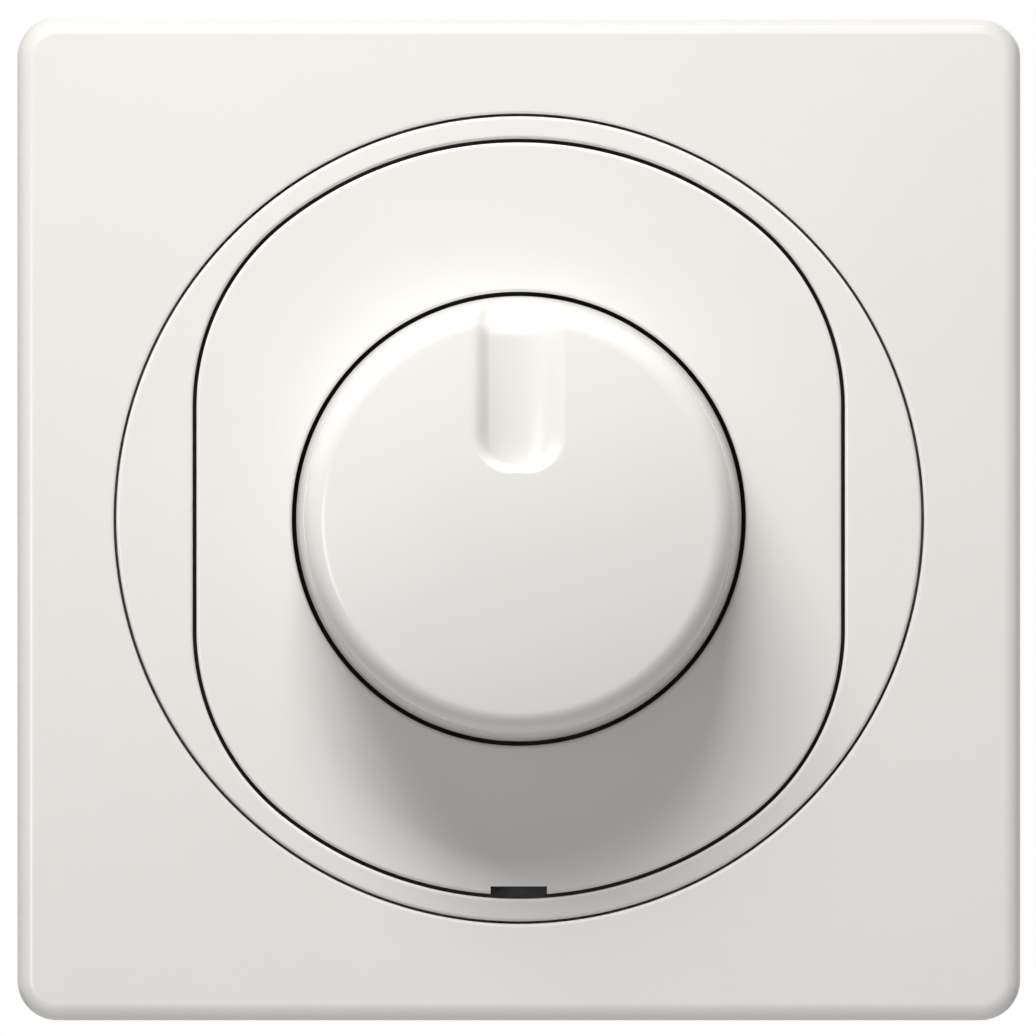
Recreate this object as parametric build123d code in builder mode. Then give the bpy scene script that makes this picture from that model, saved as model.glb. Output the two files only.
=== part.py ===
from build123d import *
import os
from math import cos, radians, sin, sqrt

# Flush-mounted rotary push dimmer: cover frame, centre plate and knob on the wall, insert in the wall box.
# Millimetres. The wall is the XZ plane, +Z is up, -Y faces the room and the knob turns about the Y axis.
# Depths are distances out from the wall towards the room, so what sits in the wall box has negative ones.

# Cover frame: a shallow square shell, open at the back, with a round opening and a ledge inside it
frame_width = 80.0
frame_front = 9.8
frame_corner_radius = 3.2
frame_edge_round = 1.4
frame_wall = 2.0
frame_opening_radius = 32.3
frame_collar_wall = 1.6
frame_rib_thickness = 1.2
ledge_front = 5.0
ledge_thickness = 1.4
ledge_width = 1.9
seam_round = 0.25

# Adapter ring: fills the frame's opening and leaves a flat-sided round opening for the centre plate
ring_gap = 0.2
ring_thickness = 2.4
ring_width = 2.0
ring_flat_depth = 4.3
ring_blend_inset = 11.3
ring_pin_radius = 1.0
ring_pin_length = 1.4
ring_pin_rise = 8.0

# Centre plate: snapped on the carrier, with a round hole for the knob and a pry notch in its lower edge
plate_gap = 0.3
plate_front_wall = 1.6
plate_rim = 1.2
knob_hole_gap = 0.35
knob_hole_round = 0.6
notch_width = 4.5
notch_depth = 0.7
hook_count = 4
hook_angle = 45.0
hook_inset = 5.3
hook_width = 5.0
hook_thickness = 1.2
hook_barb = 0.6
hook_tip = 1.5
hook_lead = 12.0
hook_clearance = 0.15

# Carrier: dark moulding with a dish for the knob, clamped on the bush, that holds the frame to the wall
carrier_gap = 0.2
carrier_wall = 1.6
carrier_rim = 1.5
dish_gap = 0.55
dish_wall = 1.4
dish_floor = 1.8
foot_count = 4
foot_angle = 20.0
foot_inset = 6.1
foot_radius = 2.0

# Knob: hollow, slightly drafted, with a domed top and a finger recess that points at the setting
knob_radius = 17.75
knob_taper = 0.8
knob_height = 10.5
knob_shoulder = 2.0
knob_dome = 1.3
knob_wall = 1.8
knob_top_wall = 2.6
knob_floor_gap = 0.5
hub_radius = 5.2
hub_gap = 0.5
hub_slit = 0.8
hub_slit_length = 4.0
knob_rib_count = 6
knob_rib_thickness = 1.2
knob_rib_length = 4.0
recess_width = 7.0
recess_depth = 1.25
recess_start = 3.9
recess_turn_inset = 0.5
recess_turn_radius = 1.4
recess_turn_angle = 62.0
recess_rim_round = 1.0
spring_wire_radius = 0.45
spring_ring_sweep = 320.0
spring_ring_rise = 1.3

# Fits between pieces: a close fit, the gap at a stop and the gap left at the end of a travel
fit_gap = 0.05
stop_gap = 0.1
travel_gap = 0.3

# Spindle and push travel
push_travel = 1.5
spindle_radius = 3.0
spindle_flat = 1.5
spindle_collar_radius = 4.5
spindle_collar_thickness = 1.5
spindle_tail = 1.6
spindle_chamfer = 0.4

# Threaded bush with its two nuts
bush_radius = 5.0
bush_flange_radius = 6.2
bush_flange_thickness = 1.0
bush_reach = 0.6
bush_chamfer = 0.3
bush_clearance = 0.15
nut_flats = 14.0
nut_chamfer = 0.7
pot_nut_thickness = 2.0
carrier_nut_thickness = 2.4

# Steel support plate, screwed to the wall box through slots
support_gap = 2.5
support_corner = 7.0
support_thickness = 1.2
box_screw_spacing = 60.0
box_slot_width = 4.0
box_slot_length = 8.0

# Potentiometer behind the support plate
pot_radius = 10.0
pot_front_wall = 1.6
pot_cavity_radius = 6.8
peg_radius = 1.0
peg_circle = 8.0
wiper_radius = 8.2
wiper_body_radius = 7.2
wiper_thickness = 2.0
wiper_gap = 0.4
wiper_travel = 150.0
wiper_stop_margin = 0.5
stop_lug_half_angle = 10.0
brush_room = 1.2
brush_thickness = 0.3
brush_inner = 4.2
brush_outer = 7.0
brush_half_angle = 25.0
brush_tip_radius = 0.45
brush_tip_inset = 0.8
track_board_radius = 9.2
track_board_thickness = 1.2
track_board_hole = 3.6
pot_pin_pitch = 4.0
pot_pin_row = 7.4

# Round pins and leads that pass through the circuit board
pin_radius = 0.4
pin_clearance = 0.1
pin_stub = 0.8

# Push switch between the potentiometer and the circuit board
switch_width = 12.0
switch_wall = 1.0
switch_front_wall = 1.2
switch_floor = 1.0
switch_proud = 0.8
plunger_radius = 3.2
plunger_clearance = 0.1
plunger_flange_radius = 4.6
plunger_flange_thickness = 1.2
plunger_end_wall = 1.0
bridge_length = 9.4
bridge_width = 6.6
bridge_thickness = 0.4
contact_radius = 0.9
contact_rise = 0.75
contact_spread = 7.8
return_wire_radius = 0.25
return_spring_radius = 1.9
return_spring_turns = 3
return_spring_gap = 0.25

# Circuit board and the insert housing around it
board_thickness = 1.6
board_gap = 0.3
board_solder_room = 1.8
housing_radius = 27.0
housing_half_width = 24.0
housing_blend = 4.0
housing_wall = 1.6
housing_back_round = 1.5
post_radius = 2.3
post_inset = 1.9
post_angles = [39.0, 220.0]
post_hole_depth = 9.0
post_gap = 0.4
rest_radius = 1.2
rest_inset = 4.8
rest_angles = [66.0, 135.0, 203.0, 348.0]
housing_screw_radius = 1.3
housing_screw_length = 8.0
housing_screw_head_radius = 2.5
housing_screw_head = 1.6
housing_screw_clearance = 0.3
screw_slot_width = 0.6
screw_slot_depth = 0.8

# Screw terminals along the housing's lower side
terminal_count = 3
terminal_pitch = 9.0
cage_width = 7.0
cage_height = 7.5
cage_length = 10.5
cage_wall = 1.2
cage_clearance = 0.6
cage_back_gap = 0.2
cage_tab_width = 3.0
cage_tab_reach = 2.2
cage_tab_thickness = 0.5
cage_board_gap = 0.6
wire_hole_radius = 2.0
terminal_screw_radius = 1.5
terminal_screw_head_radius = 2.2
terminal_screw_head = 1.5
terminal_screw_bite = 1.4
driver_hole_gap = 0.5
partition_thickness = 1.0

# Power switch, riveted to the support plate over an insulating pad
triac_width = 10.0
triac_body_length = 9.0
triac_body_thickness = 4.4
triac_tab_length = 6.4
triac_tab_thickness = 1.3
triac_leg_width = 0.8
triac_leg_thickness = 0.5
triac_leg_pitch = 2.54
triac_leg_reach = 3.0
triac_gap = 0.2
pad_thickness = 0.3
pad_border = 0.4
rivet_radius = 1.5
rivet_head_radius = 2.7
rivet_head = 0.9

# Components on the circuit board
component_gap = 1.0
choke_rise = 3.5
choke_height = 7.0
choke_flange_radius = 5.6
choke_flange = 1.2
choke_waist_radius = 2.6
choke_winding_radius = 5.1
film_gap = 0.4
film_up = 13.3
film_length = 12.0
film_width = 6.0
film_height = 7.0
film_lead_spread = 10.0
timing_across = -12.0
timing_rise = 3.3
timing_length = 7.0
timing_width = 2.5
timing_height = 5.5
timing_lead_spread = 5.0
capacitor_round = 0.5
fuse_up = -1.5
fuse_length = 20.0
fuse_radius = 2.6
fuse_glass_radius = 2.4
fuse_cap_length = 5.0
fuse_rise = 3.6
clip_thickness = 0.4
clip_length = 4.0
clip_arm = 4.6
clip_edge_gap = 0.5
resistor_edge_gap = 2.3
resistor_rise = 2.6
upper_resistor_place = (2.0, 8.2)
resistor_length = 6.4
resistor_radius = 1.2
diac_up = -8.5
diac_gap = 0.8
diac_length = 4.0
diac_radius = 0.95
axial_rise = 0.3
axial_chamfer = 0.4
lead_radius = 0.3
lead_reach = 1.6

# Depths that follow from the sizes above
seat = frame_front - ring_thickness
ledge_back = ledge_front - ledge_thickness
flange_back = seat - carrier_wall
dish_back = support_thickness + pot_nut_thickness
dish_front = dish_back + dish_floor
bush_front = dish_front + carrier_nut_thickness + bush_reach
knob_back = dish_front + push_travel + knob_floor_gap
knob_front = frame_front + knob_height
knob_side_top = knob_front - knob_dome
knob_ceiling = knob_front - knob_top_wall
hub_back = bush_front + push_travel + hub_gap
spindle_front = knob_ceiling - travel_gap
bush_back = -pot_front_wall - bush_flange_thickness
collar_front = bush_back - stop_gap
collar_back = collar_front - spindle_collar_thickness
wiper_front = collar_back - push_travel - travel_gap
wiper_back = wiper_front - wiper_thickness
track_front = wiper_back - brush_room
track_back = track_front - track_board_thickness
spindle_back = track_back - spindle_tail
switch_front = spindle_back - switch_proud
plunger_flange_front = switch_front - switch_front_wall - stop_gap
plunger_flange_back = plunger_flange_front - plunger_flange_thickness
bridge_back = plunger_flange_back - bridge_thickness
contact_front = bridge_back - push_travel - fit_gap
switch_inside = contact_front - contact_rise
board_front = switch_inside - switch_floor
board_back = board_front - board_thickness
housing_inside = board_back - board_solder_room
housing_back = housing_inside - housing_wall
pin_end = board_back - pin_stub
cage_back = housing_inside + cage_back_gap
terminal_screw_depth = cage_back + cage_length / 2
triac_back = -pad_thickness - triac_tab_thickness

# Radii and places that follow
ring_radius = frame_opening_radius - ring_gap
ring_opening_radius = frame_opening_radius - ring_width
ring_opening_half_width = ring_opening_radius - ring_flat_depth
ring_opening_blend = ring_opening_radius - ring_blend_inset
hook_circle = ring_opening_radius - hook_inset
ring_pin_across = (ring_opening_half_width + ring_radius) / 2
carrier_radius = frame_opening_radius - carrier_gap
foot_circle = carrier_radius - foot_inset
cavity_width = frame_width - 2 * frame_wall
support_width = cavity_width - 2 * support_gap
knob_hole_radius = knob_radius + knob_hole_gap
dish_radius = knob_radius + dish_gap
knob_top_radius = knob_radius - knob_taper
spring_seat_radius = hub_radius - spring_wire_radius - fit_gap
plunger_bore_radius = return_spring_radius + return_wire_radius + return_spring_gap
housing_inner_radius = housing_radius - housing_wall
housing_inner_half_width = housing_half_width - housing_wall
board_radius = housing_inner_radius - board_gap
board_half_width = housing_inner_half_width - board_gap
post_circle = housing_inner_radius - post_inset
post_places = [(post_circle * cos(radians(a)), post_circle * sin(radians(a))) for a in post_angles]
rest_circle = housing_inner_radius - rest_inset
rest_places = [(rest_circle * cos(radians(a)), rest_circle * sin(radians(a))) for a in rest_angles]
terminal_reach = ((terminal_count - 1) * terminal_pitch + cage_width) / 2
cage_bottom = cage_clearance - sqrt(housing_inner_radius**2 - terminal_reach**2)
cage_top = cage_bottom + cage_height
cage_middle = (cage_top + cage_bottom) / 2
board_lower_edge = cage_top + cage_board_gap
triac_length = triac_body_length + triac_tab_length
triac_up = pot_radius + pad_border + triac_gap + triac_width / 2
triac_place = ((triac_length - triac_tab_length) / 2, triac_up)
triac_leg_across = -triac_length / 2 - triac_leg_reach
choke_place = (-switch_width / 2 - component_gap - choke_flange_radius, choke_rise)
film_across = post_places[0][0] - post_radius - film_gap - film_length / 2
clip_half_width = fuse_radius + fit_gap + clip_thickness
fuse_reach = abs(fuse_up) + fuse_length / 2
fuse_side = min(board_half_width, sqrt(board_radius**2 - fuse_reach**2))
fuse_across = fuse_side - clip_edge_gap - clip_half_width
clip_ups = [fuse_up + side * (fuse_length - fuse_cap_length) / 2 for side in (-1, 1)]

# Places where pins and leads go through the circuit board
resistor_half_span = resistor_length / 2 + lead_reach
lower_resistor_across = resistor_edge_gap + resistor_half_span - board_half_width
lower_resistor_up = board_lower_edge + resistor_rise
resistor_places = [(lower_resistor_across, lower_resistor_up), upper_resistor_place]
timing_up = lower_resistor_up + timing_rise
diac_half_span = diac_length / 2 + lead_reach
diac_place = (fuse_across - clip_half_width - diac_gap - diac_half_span, diac_up)
pin_places = [(side * contact_spread / 2, 0) for side in (-1, 1)]
pin_places += [(place * pot_pin_pitch, -pot_pin_row) for place in (-1, 0, 1)]
pin_places += [(triac_leg_across, triac_up + place * triac_leg_pitch) for place in (-1, 0, 1)]
pin_places += [(film_across + side * film_lead_spread / 2, film_up) for side in (-1, 1)]
pin_places += [(timing_across + side * timing_lead_spread / 2, timing_up) for side in (-1, 1)]
pin_places += [(fuse_across, up) for up in clip_ups]
pin_places += [(x + side * resistor_half_span, z) for x, z in resistor_places for side in (-1, 1)]
pin_places += [(diac_place[0] + side * diac_half_span, diac_place[1]) for side in (-1, 1)]


def level(depth):
    """Plane parallel to the wall, at a distance out from it, facing the room."""
    return Plane.XZ.offset(depth)


def height_section(up):
    """Plane parallel to the floor at a height, with the distance across and the depth as its axes."""
    return Plane(origin=(0, 0, up), x_dir=(1, 0, 0), z_dir=(0, 0, -1))


# Planes through the knob's axis: one level, one upright
cross_section = height_section(0)
side_section = Plane(origin=(0, 0, 0), x_dir=(0, 0, 1), z_dir=(1, 0, 0))


def flat_sided_round(radius, half_width, blend):
    """Round outline with straight left and right sides, which run into the arc over a blend radius."""
    with BuildSketch(mode=Mode.PRIVATE) as outline:
        Circle(radius)
        Rectangle(2 * half_width, 2 * radius, mode=Mode.INTERSECT)
        fillet(outline.vertices(), radius=blend)
    return outline.sketch


def flatted_round(radius, flat):
    """Round section with a flat at a distance above its centre, for the spindle and what it drives."""
    with BuildSketch(mode=Mode.PRIVATE) as outline:
        Circle(radius)
        with Locations((0, flat + radius)):
            Rectangle(2 * radius, 2 * radius, mode=Mode.SUBTRACT)
    return outline.sketch


def sector(inner, outer, half_angle, up):
    """Part of a ring to both sides of the upright, above the centre or, if up is -1, below it."""
    reach = 2 * outer
    across = reach * sin(radians(half_angle))
    rise = up * reach * cos(radians(half_angle))
    with BuildSketch(mode=Mode.PRIVATE) as outline:
        Circle(outer)
        Circle(inner, mode=Mode.SUBTRACT)
        Polygon((0, 0), (across, rise), (-across, rise), align=None, mode=Mode.INTERSECT)
    return outline.sketch


def plate_outline(inset):
    """The centre plate's outline: the ring's opening made smaller all round."""
    return flat_sided_round(
        ring_opening_radius - inset, ring_opening_half_width - inset, ring_opening_blend - inset
    )


def housing_outline(inset):
    """The insert housing's outline, made smaller all round."""
    return flat_sided_round(housing_radius - inset, housing_half_width - inset, housing_blend - inset)


def write(part, name):
    """Label a finished piece and save it."""
    part.label = name
    export_step(part, f"parts/{name}.step")


os.makedirs("parts", exist_ok=True)

# Cover frame
cavity_corner_radius = max(frame_corner_radius - frame_wall, frame_corner_radius / 4)
rib_inner = frame_opening_radius + frame_collar_wall / 2
rib_outer = (frame_width - frame_wall) / sqrt(2) - (sqrt(2) - 1) * frame_corner_radius
with BuildPart() as frame:
    with BuildSketch(level(0)):
        RectangleRounded(frame_width, frame_width, frame_corner_radius)
    extrude(amount=frame_front)
    fillet(frame.faces().sort_by(Axis.Y)[0].edges(), radius=frame_edge_round)
    with BuildSketch(level(0)):
        RectangleRounded(cavity_width, cavity_width, cavity_corner_radius)
    extrude(amount=frame_front - frame_wall, mode=Mode.SUBTRACT)
    with BuildSketch(level(ledge_back)):
        Circle(frame_opening_radius + frame_collar_wall)
        with PolarLocations((rib_inner + rib_outer) / 2, 4, start_angle=45):
            Rectangle(rib_outer - rib_inner, frame_rib_thickness)
    extrude(amount=frame_front - frame_wall - ledge_back)
    with BuildSketch(level(ledge_front)):
        Circle(frame_opening_radius)
    extrude(amount=frame_front - ledge_front, mode=Mode.SUBTRACT)
    with BuildSketch(level(ledge_back)):
        Circle(frame_opening_radius - ledge_width)
    extrude(amount=ledge_thickness, mode=Mode.SUBTRACT)
    fillet(frame.faces().sort_by(Axis.Y)[0].inner_wires()[0].edges(), radius=seam_round)
write(frame.part, "frame")

# Adapter ring, with four pins that locate it in the carrier
with BuildPart() as adapter_ring:
    with BuildSketch(level(seat)):
        Circle(ring_radius)
        add(plate_outline(0), mode=Mode.SUBTRACT)
    extrude(amount=ring_thickness)
    fillet(adapter_ring.faces().sort_by(Axis.Y)[0].edges(), radius=seam_round)
    with BuildSketch(level(seat)):
        with GridLocations(2 * ring_pin_across, 2 * ring_pin_rise, 2, 2):
            Circle(ring_pin_radius)
    extrude(amount=-ring_pin_length)
write(adapter_ring.part, "adapter_ring")

# Centre plate: front wall with a rim along its edge and round the hole, and hooks behind it
plate_pocket = ring_thickness - plate_front_wall
hook_catch = flange_back - hook_clearance
with BuildPart() as centre_plate:
    with BuildSketch(level(seat)):
        add(plate_outline(plate_gap))
    extrude(amount=ring_thickness)
    fillet(centre_plate.faces().sort_by(Axis.Y)[0].edges(), radius=seam_round)
    with BuildSketch(level(seat)):
        Circle(knob_hole_radius)
    extrude(amount=ring_thickness, mode=Mode.SUBTRACT)
    fillet(centre_plate.faces().sort_by(Axis.Y)[0].inner_wires()[0].edges(), radius=knob_hole_round)
    with BuildSketch(level(seat)):
        add(plate_outline(plate_gap + plate_rim))
        Circle(knob_hole_radius + plate_rim, mode=Mode.SUBTRACT)
    extrude(amount=plate_pocket, mode=Mode.SUBTRACT)
    with BuildSketch(level(seat)):
        with Locations((0, plate_gap - ring_opening_radius)):
            Rectangle(notch_width, 2 * notch_depth)
    extrude(amount=ring_thickness, mode=Mode.SUBTRACT)
    with BuildSketch(level(seat + plate_pocket)):
        with PolarLocations(hook_circle, hook_count, start_angle=hook_angle):
            Rectangle(hook_thickness, hook_width)
    extrude(amount=hook_catch - seat - plate_pocket)
    with BuildSketch(level(hook_catch)):
        with PolarLocations(hook_circle + hook_barb / 2, hook_count, start_angle=hook_angle):
            Rectangle(hook_thickness + hook_barb, hook_width)
    extrude(amount=-hook_tip, taper=hook_lead)
write(centre_plate.part, "centre_plate")

# Carrier: flange under plate and ring, rim on the frame's ledge, dish under the knob, feet on the steel
window_inner = hook_circle - hook_thickness / 2 - hook_barb - hook_clearance
window_outer = hook_circle + hook_thickness / 2 + hook_clearance
with BuildPart() as carrier:
    with BuildSketch(level(flange_back)):
        Circle(carrier_radius)
    extrude(amount=carrier_wall)
    with BuildSketch(level(ledge_front)):
        Circle(carrier_radius)
        Circle(carrier_radius - carrier_rim, mode=Mode.SUBTRACT)
    extrude(amount=flange_back - ledge_front)
    with BuildSketch(level(dish_back)):
        Circle(dish_radius + dish_wall)
    extrude(amount=flange_back - dish_back)
    with BuildSketch(level(dish_front)):
        Circle(dish_radius)
    extrude(amount=seat - dish_front, mode=Mode.SUBTRACT)
    with BuildSketch(level(support_thickness)):
        with PolarLocations(foot_circle, foot_count, start_angle=foot_angle):
            Circle(foot_radius)
    extrude(amount=flange_back - support_thickness)
    with BuildSketch(level(dish_back)):
        Circle(bush_radius + bush_clearance)
    extrude(amount=dish_floor, mode=Mode.SUBTRACT)
    with BuildSketch(level(flange_back)):
        with PolarLocations((window_inner + window_outer) / 2, hook_count, start_angle=hook_angle):
            Rectangle(window_outer - window_inner, hook_width + 2 * hook_clearance)
        with GridLocations(2 * ring_pin_across, 2 * ring_pin_rise, 2, 2):
            Circle(ring_pin_radius + fit_gap)
    extrude(amount=carrier_wall, mode=Mode.SUBTRACT)
write(carrier.part, "carrier")


def hex_nut(back, thickness):
    """Hexagon nut on the threaded bush, turned down at its corners, with its back face at a depth."""
    with BuildPart() as nut:
        with BuildSketch(level(back)):
            Circle(nut_flats / sqrt(3))
        extrude(amount=thickness)
        chamfer(nut.edges().filter_by(GeomType.CIRCLE), length=nut_chamfer)
        with BuildSketch(level(back)):
            RegularPolygon(nut_flats / 2, side_count=6, major_radius=False)
        extrude(amount=thickness, mode=Mode.INTERSECT)
        with BuildSketch(level(back)):
            Circle(bush_radius + fit_gap)
        extrude(amount=thickness, mode=Mode.SUBTRACT)
    return nut.part


write(hex_nut(dish_front, carrier_nut_thickness), "carrier_nut")
write(hex_nut(support_thickness, pot_nut_thickness), "pot_nut")

# Finger recess in the knob: a dished trough with a ball end, as a ball cutter leaves it in the tool.
# It keeps its depth below the dome, turns down over the shoulder and runs out at the side.
dome_radius = (knob_top_radius**2 + knob_dome**2) / (2 * knob_dome)
recess_ball_radius = (recess_width**2 / 4 + recess_depth**2) / (2 * recess_depth)
recess_line_start = recess_start + recess_width / 2
recess_line_end = knob_top_radius - knob_shoulder - recess_turn_inset


def above_trough(reach):
    """Place of the cutter's centre in the side section, over a trough at a distance from the axis."""
    dome_depth = knob_front - dome_radius + sqrt(dome_radius**2 - reach**2)
    return reach, dome_depth - recess_depth + recess_ball_radius


with BuildPart() as recess:
    with BuildLine(side_section):
        trough = Line(above_trough(recess_line_start), above_trough(recess_line_end))
        turn = JernArc(trough @ 1, trough % 1, recess_turn_radius + recess_ball_radius, -recess_turn_angle)
        PolarLine(turn @ 1, knob_height, direction=turn % 1)
    with BuildSketch(Plane(trough @ 0, z_dir=trough % 0)):
        Circle(recess_ball_radius)
    sweep()
    with Locations(trough @ 0):
        Sphere(recess_ball_radius)

# Knob
knob_rib_outer = knob_top_radius - knob_wall / 2
with BuildPart() as knob:
    with BuildSketch(cross_section):
        with BuildLine():
            dome = TangentArc((0, knob_front), (knob_top_radius, knob_side_top), tangent=(1, 0))
            Polyline(
                dome @ 1,
                (knob_radius, frame_front),
                (knob_radius, knob_back),
                (0, knob_back),
                dome @ 0,
            )
        make_face()
    revolve(axis=Axis.Y)
    fillet(knob.edges().filter_by(lambda edge: edge.is_closed).sort_by(Axis.Y)[0], radius=knob_shoulder)
    with BuildSketch(cross_section):
        with BuildLine():
            ceiling_end = (knob_top_radius - knob_wall, knob_ceiling - knob_dome)
            ceiling = TangentArc((0, knob_ceiling), ceiling_end, tangent=(1, 0))
            Polyline(
                ceiling @ 1,
                (knob_radius - knob_wall, frame_front),
                (knob_radius - knob_wall, knob_back),
                (0, knob_back),
                ceiling @ 0,
            )
        make_face()
    revolve(axis=Axis.Y, mode=Mode.SUBTRACT)
    with BuildSketch(level(hub_back)):
        Circle(hub_radius)
    extrude(amount=knob_ceiling - hub_back)
    with BuildSketch(level(knob_ceiling - knob_rib_length)):
        with PolarLocations((hub_radius + knob_rib_outer) / 2, knob_rib_count):
            Rectangle(knob_rib_outer - hub_radius + fit_gap, knob_rib_thickness)
    extrude(amount=knob_rib_length)
    with BuildSketch(level(hub_back)):
        add(flatted_round(spindle_radius + fit_gap, spindle_flat + fit_gap))
    extrude(amount=knob_ceiling - hub_back, mode=Mode.SUBTRACT)
    with BuildSketch(level(hub_back + spring_ring_rise - spring_wire_radius - fit_gap)):
        Circle(hub_radius)
        Circle(spring_seat_radius, mode=Mode.SUBTRACT)
    extrude(amount=2 * (spring_wire_radius + fit_gap), mode=Mode.SUBTRACT)
    with BuildSketch(level(hub_back)):
        Rectangle(2 * hub_radius, hub_slit)
    extrude(amount=hub_slit_length, mode=Mode.SUBTRACT)
    add(recess.part, mode=Mode.SUBTRACT)
    dome_face = knob.faces().filter_by(GeomType.SPHERE).sort_by(SortBy.AREA)[-1]
    rim_edge = dome_face.edges().sort_by(lambda edge: abs(edge.center().X))[0]
    fillet(rim_edge, radius=recess_rim_round)
write(knob.part, "knob")

# Open wire ring round the knob's split hub
with BuildPart() as knob_spring_ring:
    with BuildSketch(cross_section):
        with Locations((hub_radius, hub_back + spring_ring_rise)):
            Circle(spring_wire_radius)
    revolve(axis=Axis.Y, revolution_arc=spring_ring_sweep)
write(knob_spring_ring.part, "knob_spring_ring")

# Spindle: flatted at both ends, round in the bush, with a collar that stops it against the bush
with BuildPart() as spindle:
    with BuildSketch(level(spindle_back)):
        add(flatted_round(spindle_radius, spindle_flat))
    extrude(amount=collar_back - spindle_back)
    with BuildSketch(level(collar_back)):
        Circle(spindle_collar_radius)
    extrude(amount=spindle_collar_thickness)
    with BuildSketch(level(collar_front)):
        Circle(spindle_radius)
    extrude(amount=hub_back - collar_front)
    with BuildSketch(level(hub_back)):
        add(flatted_round(spindle_radius, spindle_flat))
    extrude(amount=spindle_front - hub_back)
    chamfer(spindle.faces().sort_by(Axis.Y)[0].edges(), length=spindle_chamfer)
write(spindle.part, "spindle")

# Support plate
box_screw_reach = box_screw_spacing / 2
with BuildPart() as support_plate:
    with BuildSketch(level(0)) as sheet:
        Rectangle(support_width, support_width)
        chamfer(sheet.vertices(), length=support_corner)
        Circle(bush_radius + bush_clearance, mode=Mode.SUBTRACT)
        with Locations((-box_screw_reach, 0), (box_screw_reach, 0)):
            SlotOverall(box_slot_length, box_slot_width, mode=Mode.SUBTRACT)
        with Locations((0, -box_screw_reach), (0, box_screw_reach)):
            SlotOverall(box_slot_length, box_slot_width, rotation=90, mode=Mode.SUBTRACT)
        with Locations(*post_places):
            Circle(housing_screw_radius + housing_screw_clearance, mode=Mode.SUBTRACT)
        with Locations(triac_place):
            Circle(rivet_radius + stop_gap, mode=Mode.SUBTRACT)
        with Locations((-peg_circle, 0)):
            Circle(peg_radius + stop_gap, mode=Mode.SUBTRACT)
    extrude(amount=support_thickness)
write(support_plate.part, "support_plate")

# Threaded bush, its flange held behind the potentiometer's front wall
bush_bore_radius = spindle_radius + fit_gap
with BuildPart() as pot_bush:
    with BuildSketch(cross_section):
        Polygon(
            (bush_bore_radius, bush_back),
            (bush_flange_radius, bush_back),
            (bush_flange_radius, -pot_front_wall),
            (bush_radius, -pot_front_wall),
            (bush_radius, bush_front - bush_chamfer),
            (bush_radius - bush_chamfer, bush_front),
            (bush_bore_radius, bush_front),
            align=None,
        )
    revolve(axis=Axis.Y)
write(pot_bush.part, "pot_bush")

# Potentiometer case, with a peg that keeps it from turning and an end stop for the wiper's lug
stop_block_half_angle = 180 - wiper_travel - stop_lug_half_angle - wiper_stop_margin
wiper_room_radius = wiper_radius + wiper_gap
wiper_room_front = wiper_front + stop_gap
with BuildPart() as pot_case:
    with BuildSketch(cross_section):
        Polygon(
            (bush_radius + fit_gap, 0),
            (pot_radius, 0),
            (pot_radius, track_back),
            (track_board_radius + fit_gap, track_back),
            (track_board_radius + fit_gap, track_front),
            (wiper_room_radius, track_front),
            (wiper_room_radius, wiper_room_front),
            (pot_cavity_radius, wiper_room_front),
            (pot_cavity_radius, -pot_front_wall),
            (bush_radius + fit_gap, -pot_front_wall),
            align=None,
        )
    revolve(axis=Axis.Y)
    with BuildSketch(level(wiper_back)):
        add(sector(wiper_body_radius + wiper_gap, wiper_room_radius + fit_gap, stop_block_half_angle, -1))
    extrude(amount=wiper_room_front - wiper_back)
    with BuildSketch(level(0)):
        with Locations((-peg_circle, 0)):
            Circle(peg_radius)
    extrude(amount=support_thickness)
write(pot_case.part, "pot_case")

# Wiper: turns with the spindle, which slides through it, until its lug meets the end stop
with BuildPart() as wiper:
    with BuildSketch(level(wiper_back)):
        Circle(wiper_body_radius)
        add(sector(wiper_body_radius / 2, wiper_radius, stop_lug_half_angle, 1))
    extrude(amount=wiper_thickness)
    with BuildSketch(level(wiper_back)):
        add(flatted_round(spindle_radius + fit_gap, spindle_flat + fit_gap))
    extrude(amount=wiper_thickness, mode=Mode.SUBTRACT)
write(wiper.part, "wiper")

# Spring brush on the wiper's back, with two raised tips that run on the tracks
brush_back = wiper_back - brush_thickness
with BuildPart() as wiper_contact:
    with BuildSketch(level(brush_back)):
        add(sector(brush_inner, brush_outer, brush_half_angle, -1))
    extrude(amount=brush_thickness)
    with BuildSketch(level(brush_back)):
        with Locations((0, -brush_inner - brush_tip_inset), (0, brush_tip_inset - brush_outer)):
            Circle(brush_tip_radius)
    extrude(amount=track_front + fit_gap - brush_back)
write(wiper_contact.part, "wiper_contact")

# Track board that closes the potentiometer
with BuildPart() as track_board:
    with BuildSketch(level(track_back)):
        Circle(track_board_radius)
        Circle(track_board_hole, mode=Mode.SUBTRACT)
        with Locations((0, -pot_pin_row)):
            with GridLocations(pot_pin_pitch, 0, 3, 1):
                Circle(pin_radius + fit_gap, mode=Mode.SUBTRACT)
    extrude(amount=track_board_thickness)
write(track_board.part, "track_board")

# Potentiometer pins, from the track board to the circuit board
with BuildPart() as pot_terminals:
    with BuildSketch(level(pin_end)):
        with Locations((0, -pot_pin_row)):
            with GridLocations(pot_pin_pitch, 0, 3, 1):
                Circle(pin_radius)
    extrude(amount=track_front - pin_end)
write(pot_terminals.part, "pot_terminals")

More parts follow.
